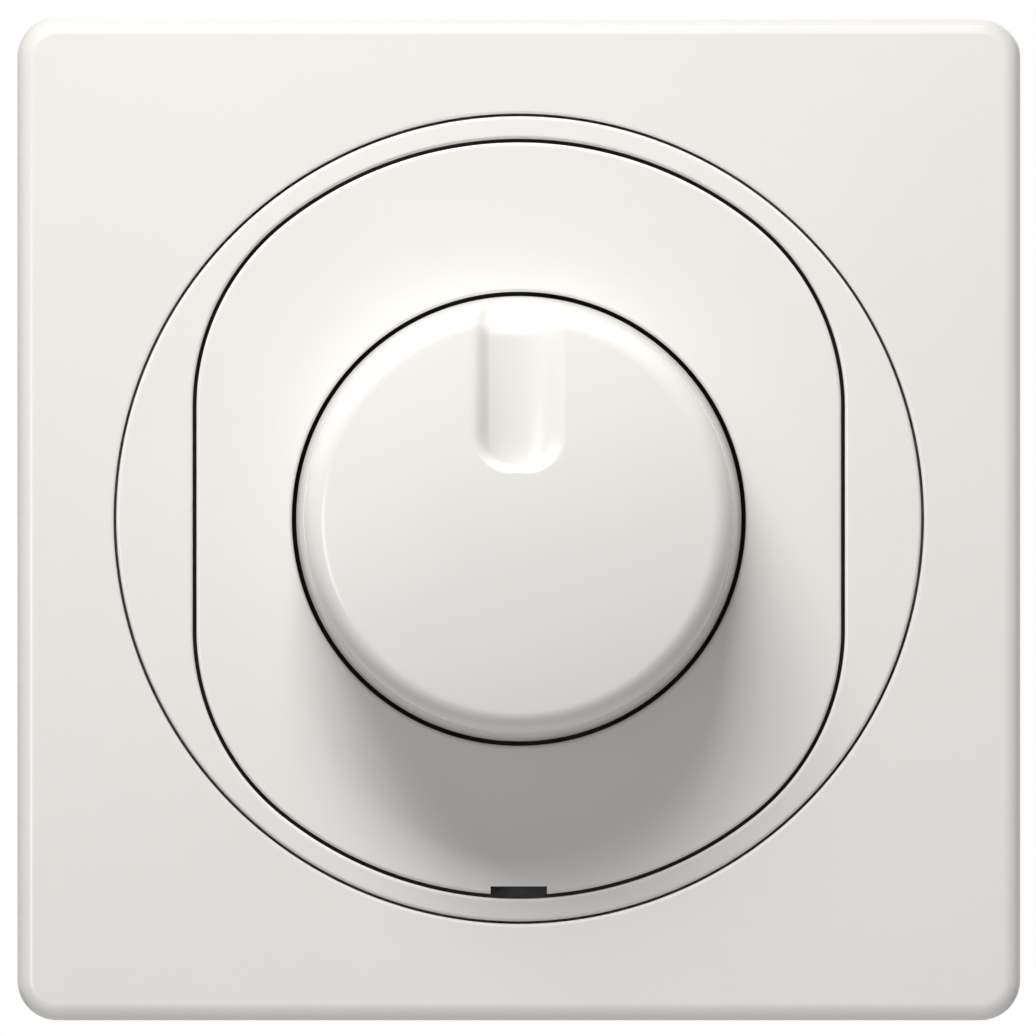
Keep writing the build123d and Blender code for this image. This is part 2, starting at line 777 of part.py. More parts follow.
# Push switch case on the circuit board
with BuildPart() as switch_case:
    with BuildSketch(level(board_front)):
        Rectangle(switch_width, switch_width)
    extrude(amount=switch_front - board_front)
    with BuildSketch(level(switch_inside)):
        Rectangle(switch_width - 2 * switch_wall, switch_width - 2 * switch_wall)
    extrude(amount=switch_front - switch_front_wall - switch_inside, mode=Mode.SUBTRACT)
    with BuildSketch(level(switch_front - switch_front_wall)):
        Circle(plunger_radius + plunger_clearance)
    extrude(amount=switch_front_wall, mode=Mode.SUBTRACT)
    with BuildSketch(level(board_front)):
        with GridLocations(contact_spread, 0, 2, 1):
            Circle(pin_radius + fit_gap)
    extrude(amount=switch_floor, mode=Mode.SUBTRACT)
write(switch_case.part, "switch_case")

# Plunger that the spindle presses, hollow for the return spring
plunger_bore_end = spindle_back - plunger_end_wall
with BuildPart() as push_plunger:
    with BuildSketch(cross_section):
        Polygon(
            (0, spindle_back),
            (plunger_radius, spindle_back),
            (plunger_radius, plunger_flange_front),
            (plunger_flange_radius, plunger_flange_front),
            (plunger_flange_radius, plunger_flange_back),
            (plunger_bore_radius, plunger_flange_back),
            (plunger_bore_radius, plunger_bore_end),
            (0, plunger_bore_end),
            align=None,
        )
    revolve(axis=Axis.Y)
write(push_plunger.part, "push_plunger")

# Contact bridge on the plunger's flange, with a hole for the return spring
with BuildPart() as contact_bridge:
    with BuildSketch(level(bridge_back)):
        Rectangle(bridge_length, bridge_width)
        Circle(plunger_bore_radius, mode=Mode.SUBTRACT)
    extrude(amount=bridge_thickness)
write(contact_bridge.part, "contact_bridge")

# Two fixed contacts in the switch's floor, with their pins
with BuildPart() as fixed_contacts:
    with BuildSketch(level(switch_inside)):
        with GridLocations(contact_spread, 0, 2, 1):
            Circle(contact_radius)
    extrude(amount=contact_rise)
    with BuildSketch(level(pin_end)):
        with GridLocations(contact_spread, 0, 2, 1):
            Circle(pin_radius)
    extrude(amount=switch_inside - pin_end)
write(fixed_contacts.part, "fixed_contacts")

# Return spring between the switch's floor and the end of the plunger's bore
coil_back = switch_inside + return_wire_radius + fit_gap
coil_length = plunger_bore_end - switch_inside - 2 * (return_wire_radius + fit_gap)
with BuildPart() as return_spring:
    with BuildLine() as coil:
        Helix(
            coil_length / return_spring_turns,
            coil_length,
            return_spring_radius,
            center=(0, -coil_back, 0),
            direction=(0, -1, 0),
        )
    with BuildSketch(Plane(origin=coil.line @ 0, z_dir=coil.line % 0)):
        Circle(return_wire_radius)
    sweep()
write(return_spring.part, "return_spring")

# Insert housing: cup behind the support plate, with posts for its screws and chambers for the terminals
driver_hole_radius = terminal_screw_head_radius + driver_hole_gap
partition_foot = -sqrt((housing_radius - housing_wall / 2) ** 2 - (terminal_pitch / 2) ** 2)
partition_height = cage_top - partition_foot
with BuildPart() as housing:
    with BuildSketch(level(housing_back)):
        add(housing_outline(0))
    extrude(amount=-housing_back)
    fillet(housing.faces().sort_by(Axis.Y)[-1].edges(), radius=housing_back_round)
    with BuildSketch(level(housing_inside)):
        add(housing_outline(housing_wall))
        with Locations(*post_places):
            Circle(post_radius, mode=Mode.SUBTRACT)
    extrude(amount=-housing_inside, mode=Mode.SUBTRACT)
    with BuildSketch(level(housing_inside)):
        with Locations(*rest_places):
            Circle(rest_radius)
    extrude(amount=board_solder_room)
    with BuildSketch(level(housing_inside)):
        with Locations((0, (cage_top + partition_foot) / 2)):
            with GridLocations(terminal_pitch, 0, terminal_count - 1, 1):
                Rectangle(partition_thickness, partition_height)
    extrude(amount=cage_length)
    with BuildSketch(level(0)):
        with Locations(*post_places):
            Circle(housing_screw_radius + fit_gap)
    extrude(amount=-post_hole_depth, mode=Mode.SUBTRACT)
    with BuildSketch(level(housing_back)):
        with Locations((0, cage_middle)):
            with GridLocations(terminal_pitch, 0, terminal_count, 1):
                Circle(wire_hole_radius)
    extrude(amount=housing_wall, mode=Mode.SUBTRACT)
    with BuildSketch(Plane.XY.offset(-housing_radius)):
        with Locations((0, -terminal_screw_depth)):
            with GridLocations(terminal_pitch, 0, terminal_count, 1):
                Circle(driver_hole_radius)
    extrude(amount=housing_radius + cage_bottom, mode=Mode.SUBTRACT)
write(housing.part, "housing")

# Screws that hold the housing to the support plate
with BuildPart() as housing_screws:
    with BuildSketch(level(support_thickness)):
        with Locations(*post_places):
            Circle(housing_screw_head_radius)
    extrude(amount=housing_screw_head)
    with BuildSketch(level(support_thickness + housing_screw_head - screw_slot_depth)):
        with Locations(*post_places):
            Rectangle(2 * housing_screw_head_radius, screw_slot_width)
    extrude(amount=screw_slot_depth, mode=Mode.SUBTRACT)
    with BuildSketch(level(support_thickness)):
        with Locations(*post_places):
            Circle(housing_screw_radius)
    extrude(amount=-housing_screw_length)
write(housing_screws.part, "housing_screws")

# Circuit board, cut off above the terminals and notched round the housing's upper post
with BuildPart() as circuit_board:
    with BuildSketch(level(board_back)):
        add(housing_outline(housing_wall + board_gap))
        with Locations((0, board_lower_edge - housing_radius)):
            Rectangle(2 * housing_radius, 2 * housing_radius, mode=Mode.SUBTRACT)
        with Locations(*post_places):
            Circle(post_radius + post_gap, mode=Mode.SUBTRACT)
        with Locations(*pin_places):
            Circle(pin_radius + pin_clearance, mode=Mode.SUBTRACT)
    extrude(amount=board_thickness)
write(circuit_board.part, "circuit_board")

# Terminal cages: open to the rear for the wire, with a solder tab on the circuit board
with BuildPart() as terminal_cages:
    with BuildSketch(level(cage_back)):
        with Locations((0, cage_middle)):
            with GridLocations(terminal_pitch, 0, terminal_count, 1):
                Rectangle(cage_width, cage_height)
    extrude(amount=cage_length)
    with BuildSketch(level(cage_back)):
        with Locations((0, cage_middle)):
            with GridLocations(terminal_pitch, 0, terminal_count, 1):
                Rectangle(cage_width - 2 * cage_wall, cage_height - 2 * cage_wall)
    extrude(amount=cage_length - cage_wall, mode=Mode.SUBTRACT)
    with BuildSketch(level(board_front)):
        with Locations((0, cage_top + cage_tab_reach / 2)):
            with GridLocations(terminal_pitch, 0, terminal_count, 1):
                Rectangle(cage_tab_width, cage_tab_reach)
    extrude(amount=cage_tab_thickness)
    with BuildSketch(Plane.XY.offset(cage_bottom)):
        with Locations((0, -terminal_screw_depth)):
            with GridLocations(terminal_pitch, 0, terminal_count, 1):
                Circle(terminal_screw_radius + fit_gap)
    extrude(amount=cage_wall, mode=Mode.SUBTRACT)
write(terminal_cages.part, "terminal_cages")

# Terminal screws, driven from below
with BuildPart() as terminal_screws:
    with BuildSketch(Plane.XY.offset(cage_bottom)):
        with Locations((0, -terminal_screw_depth)):
            with GridLocations(terminal_pitch, 0, terminal_count, 1):
                Circle(terminal_screw_head_radius)
    extrude(amount=-terminal_screw_head)
    with BuildSketch(Plane.XY.offset(cage_bottom - terminal_screw_head)):
        with Locations((0, -terminal_screw_depth)):
            with GridLocations(terminal_pitch, 0, terminal_count, 1):
                Rectangle(screw_slot_width, 2 * terminal_screw_head_radius)
    extrude(amount=screw_slot_depth, mode=Mode.SUBTRACT)
    with BuildSketch(Plane.XY.offset(cage_bottom)):
        with Locations((0, -terminal_screw_depth)):
            with GridLocations(terminal_pitch, 0, terminal_count, 1):
                Circle(terminal_screw_radius)
    extrude(amount=cage_wall + terminal_screw_bite)
write(terminal_screws.part, "terminal_screws")

# Power switch: moulded body on a metal tab, with three bent legs
triac_body_end = -triac_length / 2
triac_leg_front = -pad_thickness - triac_body_thickness / 2
with BuildPart() as triac:
    with BuildSketch(level(-pad_thickness)):
        with Locations((0, triac_up)):
            Rectangle(triac_length, triac_width)
        with Locations(triac_place):
            Circle(rivet_radius + stop_gap, mode=Mode.SUBTRACT)
    extrude(amount=-triac_tab_thickness)
    with BuildSketch(level(-pad_thickness)):
        with Locations((triac_body_end + triac_body_length / 2, triac_up)):
            Rectangle(triac_body_length, triac_width)
    extrude(amount=-triac_body_thickness)
    for place in (-1, 0, 1):
        with BuildSketch(height_section(triac_up + place * triac_leg_pitch)):
            Polygon(
                (triac_body_end, triac_leg_front),
                (triac_leg_across - triac_leg_thickness / 2, triac_leg_front),
                (triac_leg_across - triac_leg_thickness / 2, pin_end),
                (triac_leg_across + triac_leg_thickness / 2, pin_end),
                (triac_leg_across + triac_leg_thickness / 2, triac_leg_front - triac_leg_thickness),
                (triac_body_end, triac_leg_front - triac_leg_thickness),
                align=None,
            )
        extrude(amount=triac_leg_width / 2, both=True)
write(triac.part, "triac")

# Insulating pad between the power switch and the steel
with BuildPart() as insulating_pad:
    with BuildSketch(level(-pad_thickness)):
        with Locations((0, triac_up)):
            Rectangle(triac_length + 2 * pad_border, triac_width + 2 * pad_border)
        with Locations(triac_place):
            Circle(rivet_radius + stop_gap, mode=Mode.SUBTRACT)
    extrude(amount=pad_thickness)
write(insulating_pad.part, "insulating_pad")

# Rivet through steel, pad and tab
with BuildPart() as triac_rivet:
    with BuildSketch(level(triac_back)):
        with Locations(triac_place):
            Circle(rivet_radius)
    extrude(amount=support_thickness - triac_back)
    with BuildSketch(level(support_thickness)):
        with Locations(triac_place):
            Circle(rivet_head_radius)
    extrude(amount=rivet_head)
    with BuildSketch(level(triac_back)):
        with Locations(triac_place):
            Circle(rivet_head_radius)
    extrude(amount=-rivet_head)
write(triac_rivet.part, "triac_rivet")

# Choke: flanged core with its winding between the flanges
winding_back = board_front + choke_flange + fit_gap
winding_length = choke_height - 2 * (choke_flange + fit_gap)
with BuildPart() as choke_core:
    with BuildSketch(level(board_front)):
        with Locations(choke_place):
            Circle(choke_flange_radius)
    extrude(amount=choke_height)
    with BuildSketch(level(board_front + choke_flange)):
        with Locations(choke_place):
            Circle(choke_flange_radius)
            Circle(choke_waist_radius, mode=Mode.SUBTRACT)
    extrude(amount=choke_height - 2 * choke_flange, mode=Mode.SUBTRACT)
write(choke_core.part, "choke_core")

with BuildPart() as choke_winding:
    with BuildSketch(level(winding_back)):
        with Locations(choke_place):
            Circle(choke_winding_radius)
            Circle(choke_waist_radius + fit_gap, mode=Mode.SUBTRACT)
    extrude(amount=winding_length)
write(choke_winding.part, "choke_winding")


def box_capacitor(across, up, length, width, height, lead_spread):
    """Capacitor in a moulded box that stands on the circuit board on two leads."""
    with BuildPart() as capacitor:
        with BuildSketch(level(board_front)):
            with Locations((across, up)):
                RectangleRounded(length, width, capacitor_round)
        extrude(amount=height)
        with BuildSketch(level(pin_end)):
            with Locations((across, up)):
                with GridLocations(lead_spread, 0, 2, 1):
                    Circle(lead_radius)
        extrude(amount=board_front - pin_end)
    return capacitor.part


film_capacitor = box_capacitor(film_across, film_up, film_length, film_width, film_height, film_lead_spread)
write(film_capacitor, "film_capacitor")
timing_capacitor = box_capacitor(
    timing_across, timing_up, timing_length, timing_width, timing_height, timing_lead_spread
)
write(timing_capacitor, "timing_capacitor")


def axial_component(place, length, radius):
    """Round body lying along the circuit board, with two leads bent down into it."""
    across, up = place
    half_span = length / 2 + lead_reach
    axis_depth = board_front + axial_rise + radius
    with BuildPart() as component:
        with BuildLine(height_section(up)) as leads:
            Polyline(
                (across - half_span, pin_end),
                (across - half_span, axis_depth),
                (across + half_span, axis_depth),
                (across + half_span, pin_end),
            )
        with BuildSketch(Plane(origin=leads.line @ 0, z_dir=leads.line % 0)):
            Circle(lead_radius)
        sweep(transition=Transition.RIGHT)
        with BuildSketch(Plane(origin=(across, -axis_depth, up), z_dir=(1, 0, 0))):
            Circle(radius)
        extrude(amount=length / 2, both=True)
        body_ends = component.edges().filter_by(GeomType.CIRCLE).filter_by(lambda e: e.radius == radius)
        chamfer(body_ends, length=axial_chamfer)
    return component.part


resistors = Compound([axial_component(place, resistor_length, resistor_radius) for place in resistor_places])
write(resistors, "resistors")
write(axial_component(diac_place, diac_length, diac_radius), "diac")

# Cartridge fuse, upright beside the switch, in two spring clips
fuse_depth = board_front + fuse_rise
with BuildPart() as fuse:
    with BuildSketch(Plane.XY.offset(fuse_up - fuse_length / 2)):
        with Locations((fuse_across, -fuse_depth)):
            Circle(fuse_radius)
    extrude(amount=fuse_length)
    with BuildSketch(Plane.XY.offset(fuse_up - fuse_length / 2 + fuse_cap_length)):
        with Locations((fuse_across, -fuse_depth)):
            Circle(fuse_radius)
            Circle(fuse_glass_radius, mode=Mode.SUBTRACT)
    extrude(amount=fuse_length - 2 * fuse_cap_length, mode=Mode.SUBTRACT)
write(fuse.part, "fuse")

with BuildPart() as fuse_clips:
    for up in clip_ups:
        with BuildSketch(height_section(up)):
            with Locations((fuse_across, board_front)):
                Rectangle(2 * clip_half_width, clip_arm, align=(Align.CENTER, Align.MIN))
            with Locations((fuse_across, board_front + clip_thickness)):
                Rectangle(
                    2 * (fuse_radius + fit_gap),
                    clip_arm,
                    align=(Align.CENTER, Align.MIN),
                    mode=Mode.SUBTRACT,
                )
        extrude(amount=clip_length / 2, both=True)
    with BuildSketch(level(pin_end)):
        with Locations(*[(fuse_across, up) for up in clip_ups]):
            Circle(pin_radius)
    extrude(amount=board_front - pin_end)
write(fuse_clips.part, "fuse_clips")
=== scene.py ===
import math

import bmesh
import bpy
import numpy as np
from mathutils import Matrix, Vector


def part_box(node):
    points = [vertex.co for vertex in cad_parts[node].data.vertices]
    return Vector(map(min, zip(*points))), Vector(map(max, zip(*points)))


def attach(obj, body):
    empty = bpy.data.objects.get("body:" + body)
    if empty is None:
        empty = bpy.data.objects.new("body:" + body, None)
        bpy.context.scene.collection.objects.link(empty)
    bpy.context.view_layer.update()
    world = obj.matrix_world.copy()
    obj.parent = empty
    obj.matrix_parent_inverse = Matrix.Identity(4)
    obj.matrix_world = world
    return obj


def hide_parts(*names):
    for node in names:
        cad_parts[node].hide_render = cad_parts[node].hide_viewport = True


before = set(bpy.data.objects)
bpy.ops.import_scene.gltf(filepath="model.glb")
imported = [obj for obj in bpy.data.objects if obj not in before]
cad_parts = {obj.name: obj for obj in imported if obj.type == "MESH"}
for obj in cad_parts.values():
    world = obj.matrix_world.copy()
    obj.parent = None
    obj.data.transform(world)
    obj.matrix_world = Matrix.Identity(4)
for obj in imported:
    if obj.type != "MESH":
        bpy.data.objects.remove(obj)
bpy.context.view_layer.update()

# Insert housing
# A cup of grey glass-filled polyamide that sits in the wall box and holds everything electrical.
# It is injection moulded in a spark-eroded tool, which leaves a fine even grain on its skin.
mm = 0.001


class Field:
    """A value over a surface: an output of a material's nodes. Arithmetic on it adds Math nodes."""

    def __init__(self, tree, socket):
        self.tree = tree
        self.socket = socket

    def node(self, kind, settings=None, sockets=None, output=0):
        """Adds a node of a type, first with its settings and then with its sockets' values or links."""
        made = self.tree.nodes.new(kind)
        for name, value in (settings or {}).items():
            setattr(made, name, value)
        for name, value in (sockets or {}).items():
            if isinstance(value, Field):
                self.tree.links.new(value.socket, made.inputs[name])
            else:
                made.inputs[name].default_value = value
        return Field(self.tree, made.outputs[output]) if made.outputs else None

    def math(self, operation, first, second=0.0):
        """Adds a Math node."""
        return self.node("ShaderNodeMath", {"operation": operation}, {0: first, 1: second})

    def __add__(self, other):
        return self.math("ADD", self, other)

    def __sub__(self, other):
        return self.math("SUBTRACT", self, other)

    def __rsub__(self, other):
        return self.math("SUBTRACT", other, self)

    def __mul__(self, other):
        return self.math("MULTIPLY", self, other)

    __radd__ = __add__
    __rmul__ = __mul__

    def mix(self, low, high):
        """The colour between two others that this share gives."""
        return self.node(
            "ShaderNodeMix", {"data_type": "RGBA"}, {"Factor": self, 6: low, 7: high}, output=2
        )


def start_finish(name):
    """A material with no surface yet, and the place on the piece that its patterns read."""
    material = bpy.data.materials.new(name)
    material.use_nodes = True
    tree = material.node_tree
    tree.nodes.clear()
    return material, Field(tree, tree.nodes.new("ShaderNodeTexCoord").outputs["Object"])


def end_finish(place, sockets):
    """Gives the material its surface."""
    surface = place.node("ShaderNodeBsdfPrincipled", sockets=sockets)
    place.node("ShaderNodeOutputMaterial", sockets={"Surface": surface})


def cloud(place, size, detail=2.0):
    """Soft spots of a size, as a share from 0 to 1."""
    spots = place.node(
        "ShaderNodeTexNoise", sockets={"Vector": place, "Scale": 1 / size, "Detail": detail}
    )
    return spots.node(
        "ShaderNodeMapRange", sockets={"Value": spots, "From Min": 0.3, "From Max": 0.7}
    )


def relief(height, depth):
    """The surface's direction under a relief of a depth."""
    return height.node(
        "ShaderNodeBump", sockets={"Height": height, "Strength": 1.0, "Distance": depth}
    )


def opaque(colour):
    """A colour with its alpha."""
    return (*colour, 1.0)


def shaded(colour, share):
    """A colour made darker or lighter."""
    return opaque([share * part for part in colour])


def moulded_plastic(name, colour, roughness, grain, grain_depth, unevenness=0.06):
    """Plastic from a mould: pigment that is a little uneven, and a skin with the tool's grain."""
    material, place = start_finish(name)
    pigment = cloud(place, 11 * mm)
    skin = cloud(place, grain, detail=3.0)
    end_finish(
        place,
        {
            "Base Color": pigment.mix(shaded(colour, 1 - unevenness), opaque(colour)),
            "Roughness": skin * 0.12 + (roughness - 0.06),
            "Normal": relief(skin, grain_depth),
        },
    )
    return material


def dress(material, *names):
    """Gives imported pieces, whose shape is right as it is, their finish."""
    for name in names:
        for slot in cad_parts[name].material_slots:
            slot.material = material


housing_grey = moulded_plastic("housing_grey", (0.27, 0.28, 0.285), 0.52, 0.22 * mm, 0.012 * mm)
dress(housing_grey, "housing")

# Screw terminals
# Three folded cages of tinned brass with a steel screw each, driven from below through the housing.
# The screws are zinc plated, with a rolled thread and a slotted cheese head.


def plated_metal(name, colour, tint, roughness, patch=3.5 * mm):
    """Plated metal: a bright skin with clouded patches of another tint and faint lines from rolling."""
    material, place = start_finish(name)
    patches = cloud(place, patch)
    along = place.node("ShaderNodeMapping", sockets={"Vector": place, "Scale": (1.0, 1.0, 0.04)})
    lines = cloud(along, 0.25 * mm, detail=4.0)
    end_finish(
        place,
        {
            "Base Color": patches.mix(opaque(colour), opaque(tint)),
            "Metallic": 1.0,
            "Roughness": patches * 0.12 + lines * 0.08 + (roughness - 0.1),
            "Normal": relief(lines, 0.0015 * mm),
        },
    )
    return material


def to_mesh(name, points, faces, material):
    """A piece from points in metres, smooth across shallow angles, with its faces turned outwards."""
    shell = bpy.data.meshes.new(name)
    shell.from_pydata(points, [], faces)
    work = bmesh.new()
    work.from_mesh(shell)
    bmesh.ops.remove_doubles(work, verts=work.verts, dist=0.0005 * mm)
    bmesh.ops.recalc_face_normals(work, faces=work.faces)
    work.to_mesh(shell)
    work.free()
    shell.materials.append(material)
    return link(name, shell)


def link(name, shell):
    """Puts a mesh in the scene as a piece at the origin."""
    soften(shell)
    piece = bpy.data.objects.new(name, shell)
    bpy.context.scene.collection.objects.link(piece)
    return piece


def soften(shell, sharp_angle=35.0):
    """Smooth shading, apart from edges that turn by more than an angle."""
    shell.polygons.foreach_set("use_smooth", [True] * len(shell.polygons))
    shell.set_sharp_from_angle(angle=math.radians(sharp_angle))


def skin(rings, closed):
    """Points and faces of a skin over rings of points: joined up end to end, or shut at both ends."""
    count, size = len(rings), len(rings[0])
    points = np.concatenate(rings)
    spans = count if closed else count - 1
    ring, step = (part.ravel() for part in np.meshgrid(range(spans), range(size), indexing="ij"))
    after, onward = (ring + 1) % count, (step + 1) % size
    corners = (ring * size + step, ring * size + onward, after * size + onward, after * size + step)
    faces = np.stack(corners, axis=1).tolist()
    if not closed:
        faces.append(list(range(size)))
        faces.append(list(range((count - 1) * size, count * size)))
    return points.tolist(), faces


def modified(piece, kind, settings):
    """Applies one modifier, which leaves a plain mesh behind."""
    modifier = piece.modifiers.new(kind, kind)
    for name, value in settings.items():
        setattr(modifier, name, value)
    return evaluated(piece)


def evaluated(piece):
    """Takes over the mesh that the piece's modifiers make."""
    shown = piece.evaluated_get(bpy.context.evaluated_depsgraph_get())
    shell = bpy.data.meshes.new_from_object(shown)
    piece.modifiers.clear()
    piece.data = shell
    soften(shell)
    return piece


def block(name, low, high):
    """A box between two corners, for cutting."""
    corners = [(x, y, z) for x in (low[0], high[0]) for y in (low[1], high[1]) for z in (low[2], high[2])]
    faces = [(0, 1, 3, 2), (4, 6, 7, 5), (0, 4, 5, 1), (2, 3, 7, 6), (0, 2, 6, 4), (1, 5, 7, 3)]
    return to_mesh(name, corners, faces, None)


def cut_away(piece, *tools):
    """Takes the tools' shapes out of a piece and removes the tools."""
    for tool in tools:
        modified(piece, "BOOLEAN", {"operation": "DIFFERENCE", "solver": "EXACT", "object": tool})
        bpy.data.objects.remove(tool)
    return piece


def make_repeat_tree():
    """Geometry nodes that repeat a piece: along a step, round the knob's axis, or both."""
    tree = bpy.data.node_groups.new("repeated_piece", "GeometryNodeTree")
    face = tree.interface
    face.new_socket("Piece", in_out="INPUT", socket_type="NodeSocketGeometry")
    for name, kind in (
        ("Count", "NodeSocketInt"),
        ("Step", "NodeSocketVector"),
        ("First Angle", "NodeSocketFloat"),
        ("Step Angle", "NodeSocketFloat"),
        ("Finish", "NodeSocketMaterial"),
    ):
        face.new_socket(name, in_out="INPUT", socket_type=kind)
    face.new_socket("Pieces", in_out="OUTPUT", socket_type="NodeSocketGeometry")
    new, join = tree.nodes.new, tree.links.new
    given, result = new("NodeGroupInput"), new("NodeGroupOutput")
    index = new("GeometryNodeInputIndex")
    offset = new("ShaderNodeVectorMath")
    offset.operation = "SCALE"
    turn = new("ShaderNodeMath")
    turn.operation = "MULTIPLY_ADD"
    about = new("ShaderNodeCombineXYZ")
    places, copies = new("GeometryNodePoints"), new("GeometryNodeInstanceOnPoints")
    realise, paint = new("GeometryNodeRealizeInstances"), new("GeometryNodeSetMaterial")
    join(given.outputs["Step"], offset.inputs[0])
    join(index.outputs[0], offset.inputs["Scale"])
    join(index.outputs[0], turn.inputs[0])
    join(given.outputs["Step Angle"], turn.inputs[1])
    join(given.outputs["First Angle"], turn.inputs[2])
    join(turn.outputs[0], about.inputs["Y"])
    join(given.outputs["Count"], places.inputs["Count"])
    join(offset.outputs[0], places.inputs["Position"])
    join(places.outputs[0], copies.inputs["Points"])
    join(given.outputs["Piece"], copies.inputs["Instance"])
    join(about.outputs[0], copies.inputs["Rotation"])
    join(copies.outputs[0], realise.inputs[0])
    join(realise.outputs[0], paint.inputs["Geometry"])
    join(given.outputs["Finish"], paint.inputs["Material"])
    join(paint.outputs[0], result.inputs[0])
    return tree


repeat_tree = make_repeat_tree()


def repeated(piece, count, step=(0, 0, 0), first_angle=0.0, step_angle=0.0):
    """Repeats a piece through the tree and takes over the plain mesh that it makes."""
    modifier = piece.modifiers.new("repeat", "NODES")
    modifier.node_group = repeat_tree
    values = {
        "Count": count,
        "Step": step,
        "First Angle": math.radians(first_angle),
        "Step Angle": math.radians(step_angle),
        "Finish": piece.data.materials[0],
    }
    for item in repeat_tree.interface.items_tree:
        if item.name in values:
            modifier[item.identifier] = values[item.name]
    return evaluated(piece)


def polar_ring(radii, angles, height):
    """A ring of points round the Z axis."""
    radii = np.broadcast_to(radii, angles.shape)
    heights = np.full(angles.shape, height)
    return np.stack([radii * np.cos(angles), radii * np.sin(angles), heights], axis=1)


def slotted_screw(head_radius, head_height, shank_radius, shank_length, pitch):
    """Rings of a screw that points up: a cheese head with a rounded rim, and a shank with its thread."""
    rim = 0.25 * mm
    ridge = 0.17 * mm
    sides = 48
    rim_steps = 5
    rings_per_turn = 8
    angles = np.linspace(0, 2 * math.pi, sides, endpoint=False)
    rings = []
    for turn in np.linspace(0, math.pi / 2, rim_steps):
        radius = head_radius - rim * (1 - math.sin(turn))
        rings.append(polar_ring(radius, angles, -head_height + rim * (1 - math.cos(turn))))
    rings.append(polar_ring(head_radius, angles, 0))
    for height in np.arange(0, shank_length, pitch / rings_per_turn):
        phase = (height / pitch - angles / (2 * math.pi)) % 1.0
        crest = 1 - np.abs(2 * phase - 1)
        fade = min(1.0, (shank_length - height) / pitch)
        rings.append(polar_ring(shank_radius - ridge * (1 - crest * fade), angles, height))
    rings.append(polar_ring(shank_radius - 2 * ridge, angles, shank_length))
    return rings


def screw(name, rings, slot_width, slot_depth, head_radius, material, place):
    """One screw with its slot cut, put at its place by a function of its points."""
    points, faces = skin(rings, closed=False)
    piece = to_mesh(name, points, faces, material)
    floor = min(point[2] for point in points) + slot_depth
    reach = 2 * head_radius
    slot = block("slot", (-slot_width / 2, -reach, floor - reach), (slot_width / 2, reach, floor))
    cut_away(piece, slot)
    places = [place(vertex.co) for vertex in piece.data.vertices]
    piece.data.vertices.foreach_set("co", np.array(places, np.float32).ravel())
    piece.data.update()
    return piece


tinned_brass = plated_metal("tinned_brass", (0.66, 0.64, 0.58), (0.74, 0.70, 0.58), 0.36)
dress(tinned_brass, "terminal_cages", "pot_terminals", "fixed_contacts", "fuse_clips")

zinc_plating = plated_metal("zinc_plating", (0.40, 0.415, 0.44), (0.53, 0.53, 0.51), 0.36, patch=6 * mm)
terminal_low, terminal_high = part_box("terminal_screws")
terminal_count = 3
terminal_head_radius = (terminal_high.y - terminal_low.y) / 2
terminal_pitch = (terminal_high.x - terminal_low.x - 2 * terminal_head_radius) / (terminal_count - 1)
terminal_head = 1.5 * mm
terminal_rings = slotted_screw(
    head_radius=terminal_head_radius,
    head_height=terminal_head,
    shank_radius=1.5 * mm,
    shank_length=terminal_high.z - terminal_low.z - terminal_head,
    pitch=0.5 * mm,
)
first_terminal = Vector((
    terminal_low.x + terminal_head_radius,
    (terminal_low.y + terminal_high.y) / 2,
    terminal_low.z + terminal_head,
))
terminal_screws = screw(
    "threaded_terminal_screws",
    terminal_rings,
    slot_width=0.6 * mm,
    slot_depth=0.8 * mm,
    head_radius=terminal_head_radius,
    material=zinc_plating,
    place=lambda point: first_terminal + point,
)
repeated(terminal_screws, terminal_count, step=(terminal_pitch, 0, 0))
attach(terminal_screws, "base")
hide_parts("terminal_screws")

# Circuit board
# Glass-fibre laminate with a green solder mask, through which the weave of the cloth still shows.
# It rests on pillars in the housing and carries the components on the side that faces the room.


def part_of(place, axis):
    """One coordinate of the place on the piece: 0 across, 1 into the wall, 2 up."""
    return place.node("ShaderNodeSeparateXYZ", sockets={"Vector": place}, output=axis)


def woven(place, pitch):
    """Height of a plain weave in the plane of the wall, from 0 to 1."""
    across, up = part_of(place, 0), part_of(place, 2)
    turns = 2 * math.pi / pitch
    return (across.math("SINE", across * turns) * up.math("SINE", up * turns)) * 0.5 + 0.5


solder_mask, place = start_finish("solder_mask")
weave = woven(place, 0.9 * mm)
end_finish(
    place,
    {
        "Base Color": (weave * 0.5 + cloud(place, 4 * mm) * 0.5).mix(
            opaque((0.020, 0.115, 0.050)), opaque((0.035, 0.165, 0.070))
        ),
        "Roughness": weave * 0.1 + 0.28,
        "Normal": relief(weave, 0.004 * mm),
    },
)
dress(solder_mask, "circuit_board")

# Choke
# A ferrite bobbin with enamelled copper wire wound between its flanges, which keeps the dimmer quiet.
# The core is sintered, so its skin is dull and speckled; the outer layer of wire shows its turns.
ferrite_grey, place = start_finish("ferrite_grey")
specks = cloud(place, 0.35 * mm, detail=4.0)
end_finish(
    place,
    {
        "Base Color": specks.mix(opaque((0.035, 0.035, 0.038)), opaque((0.075, 0.075, 0.080))),
        "Roughness": specks * 0.15 + 0.55,
        "Normal": relief(specks, 0.010 * mm),
    },
)
dress(ferrite_grey, "choke_core")

enamelled_copper, place = start_finish("enamelled_copper")
enamel = cloud(place, 1.2 * mm)
end_finish(
    place,
    {
        "Base Color": enamel.mix(opaque((0.50, 0.14, 0.035)), opaque((0.66, 0.24, 0.070))),
        "Metallic": 1.0,
        "Roughness": enamel * 0.1 + 0.24,
        "Coat Weight": 0.6,
    },
)
wire_radius = 0.25 * mm


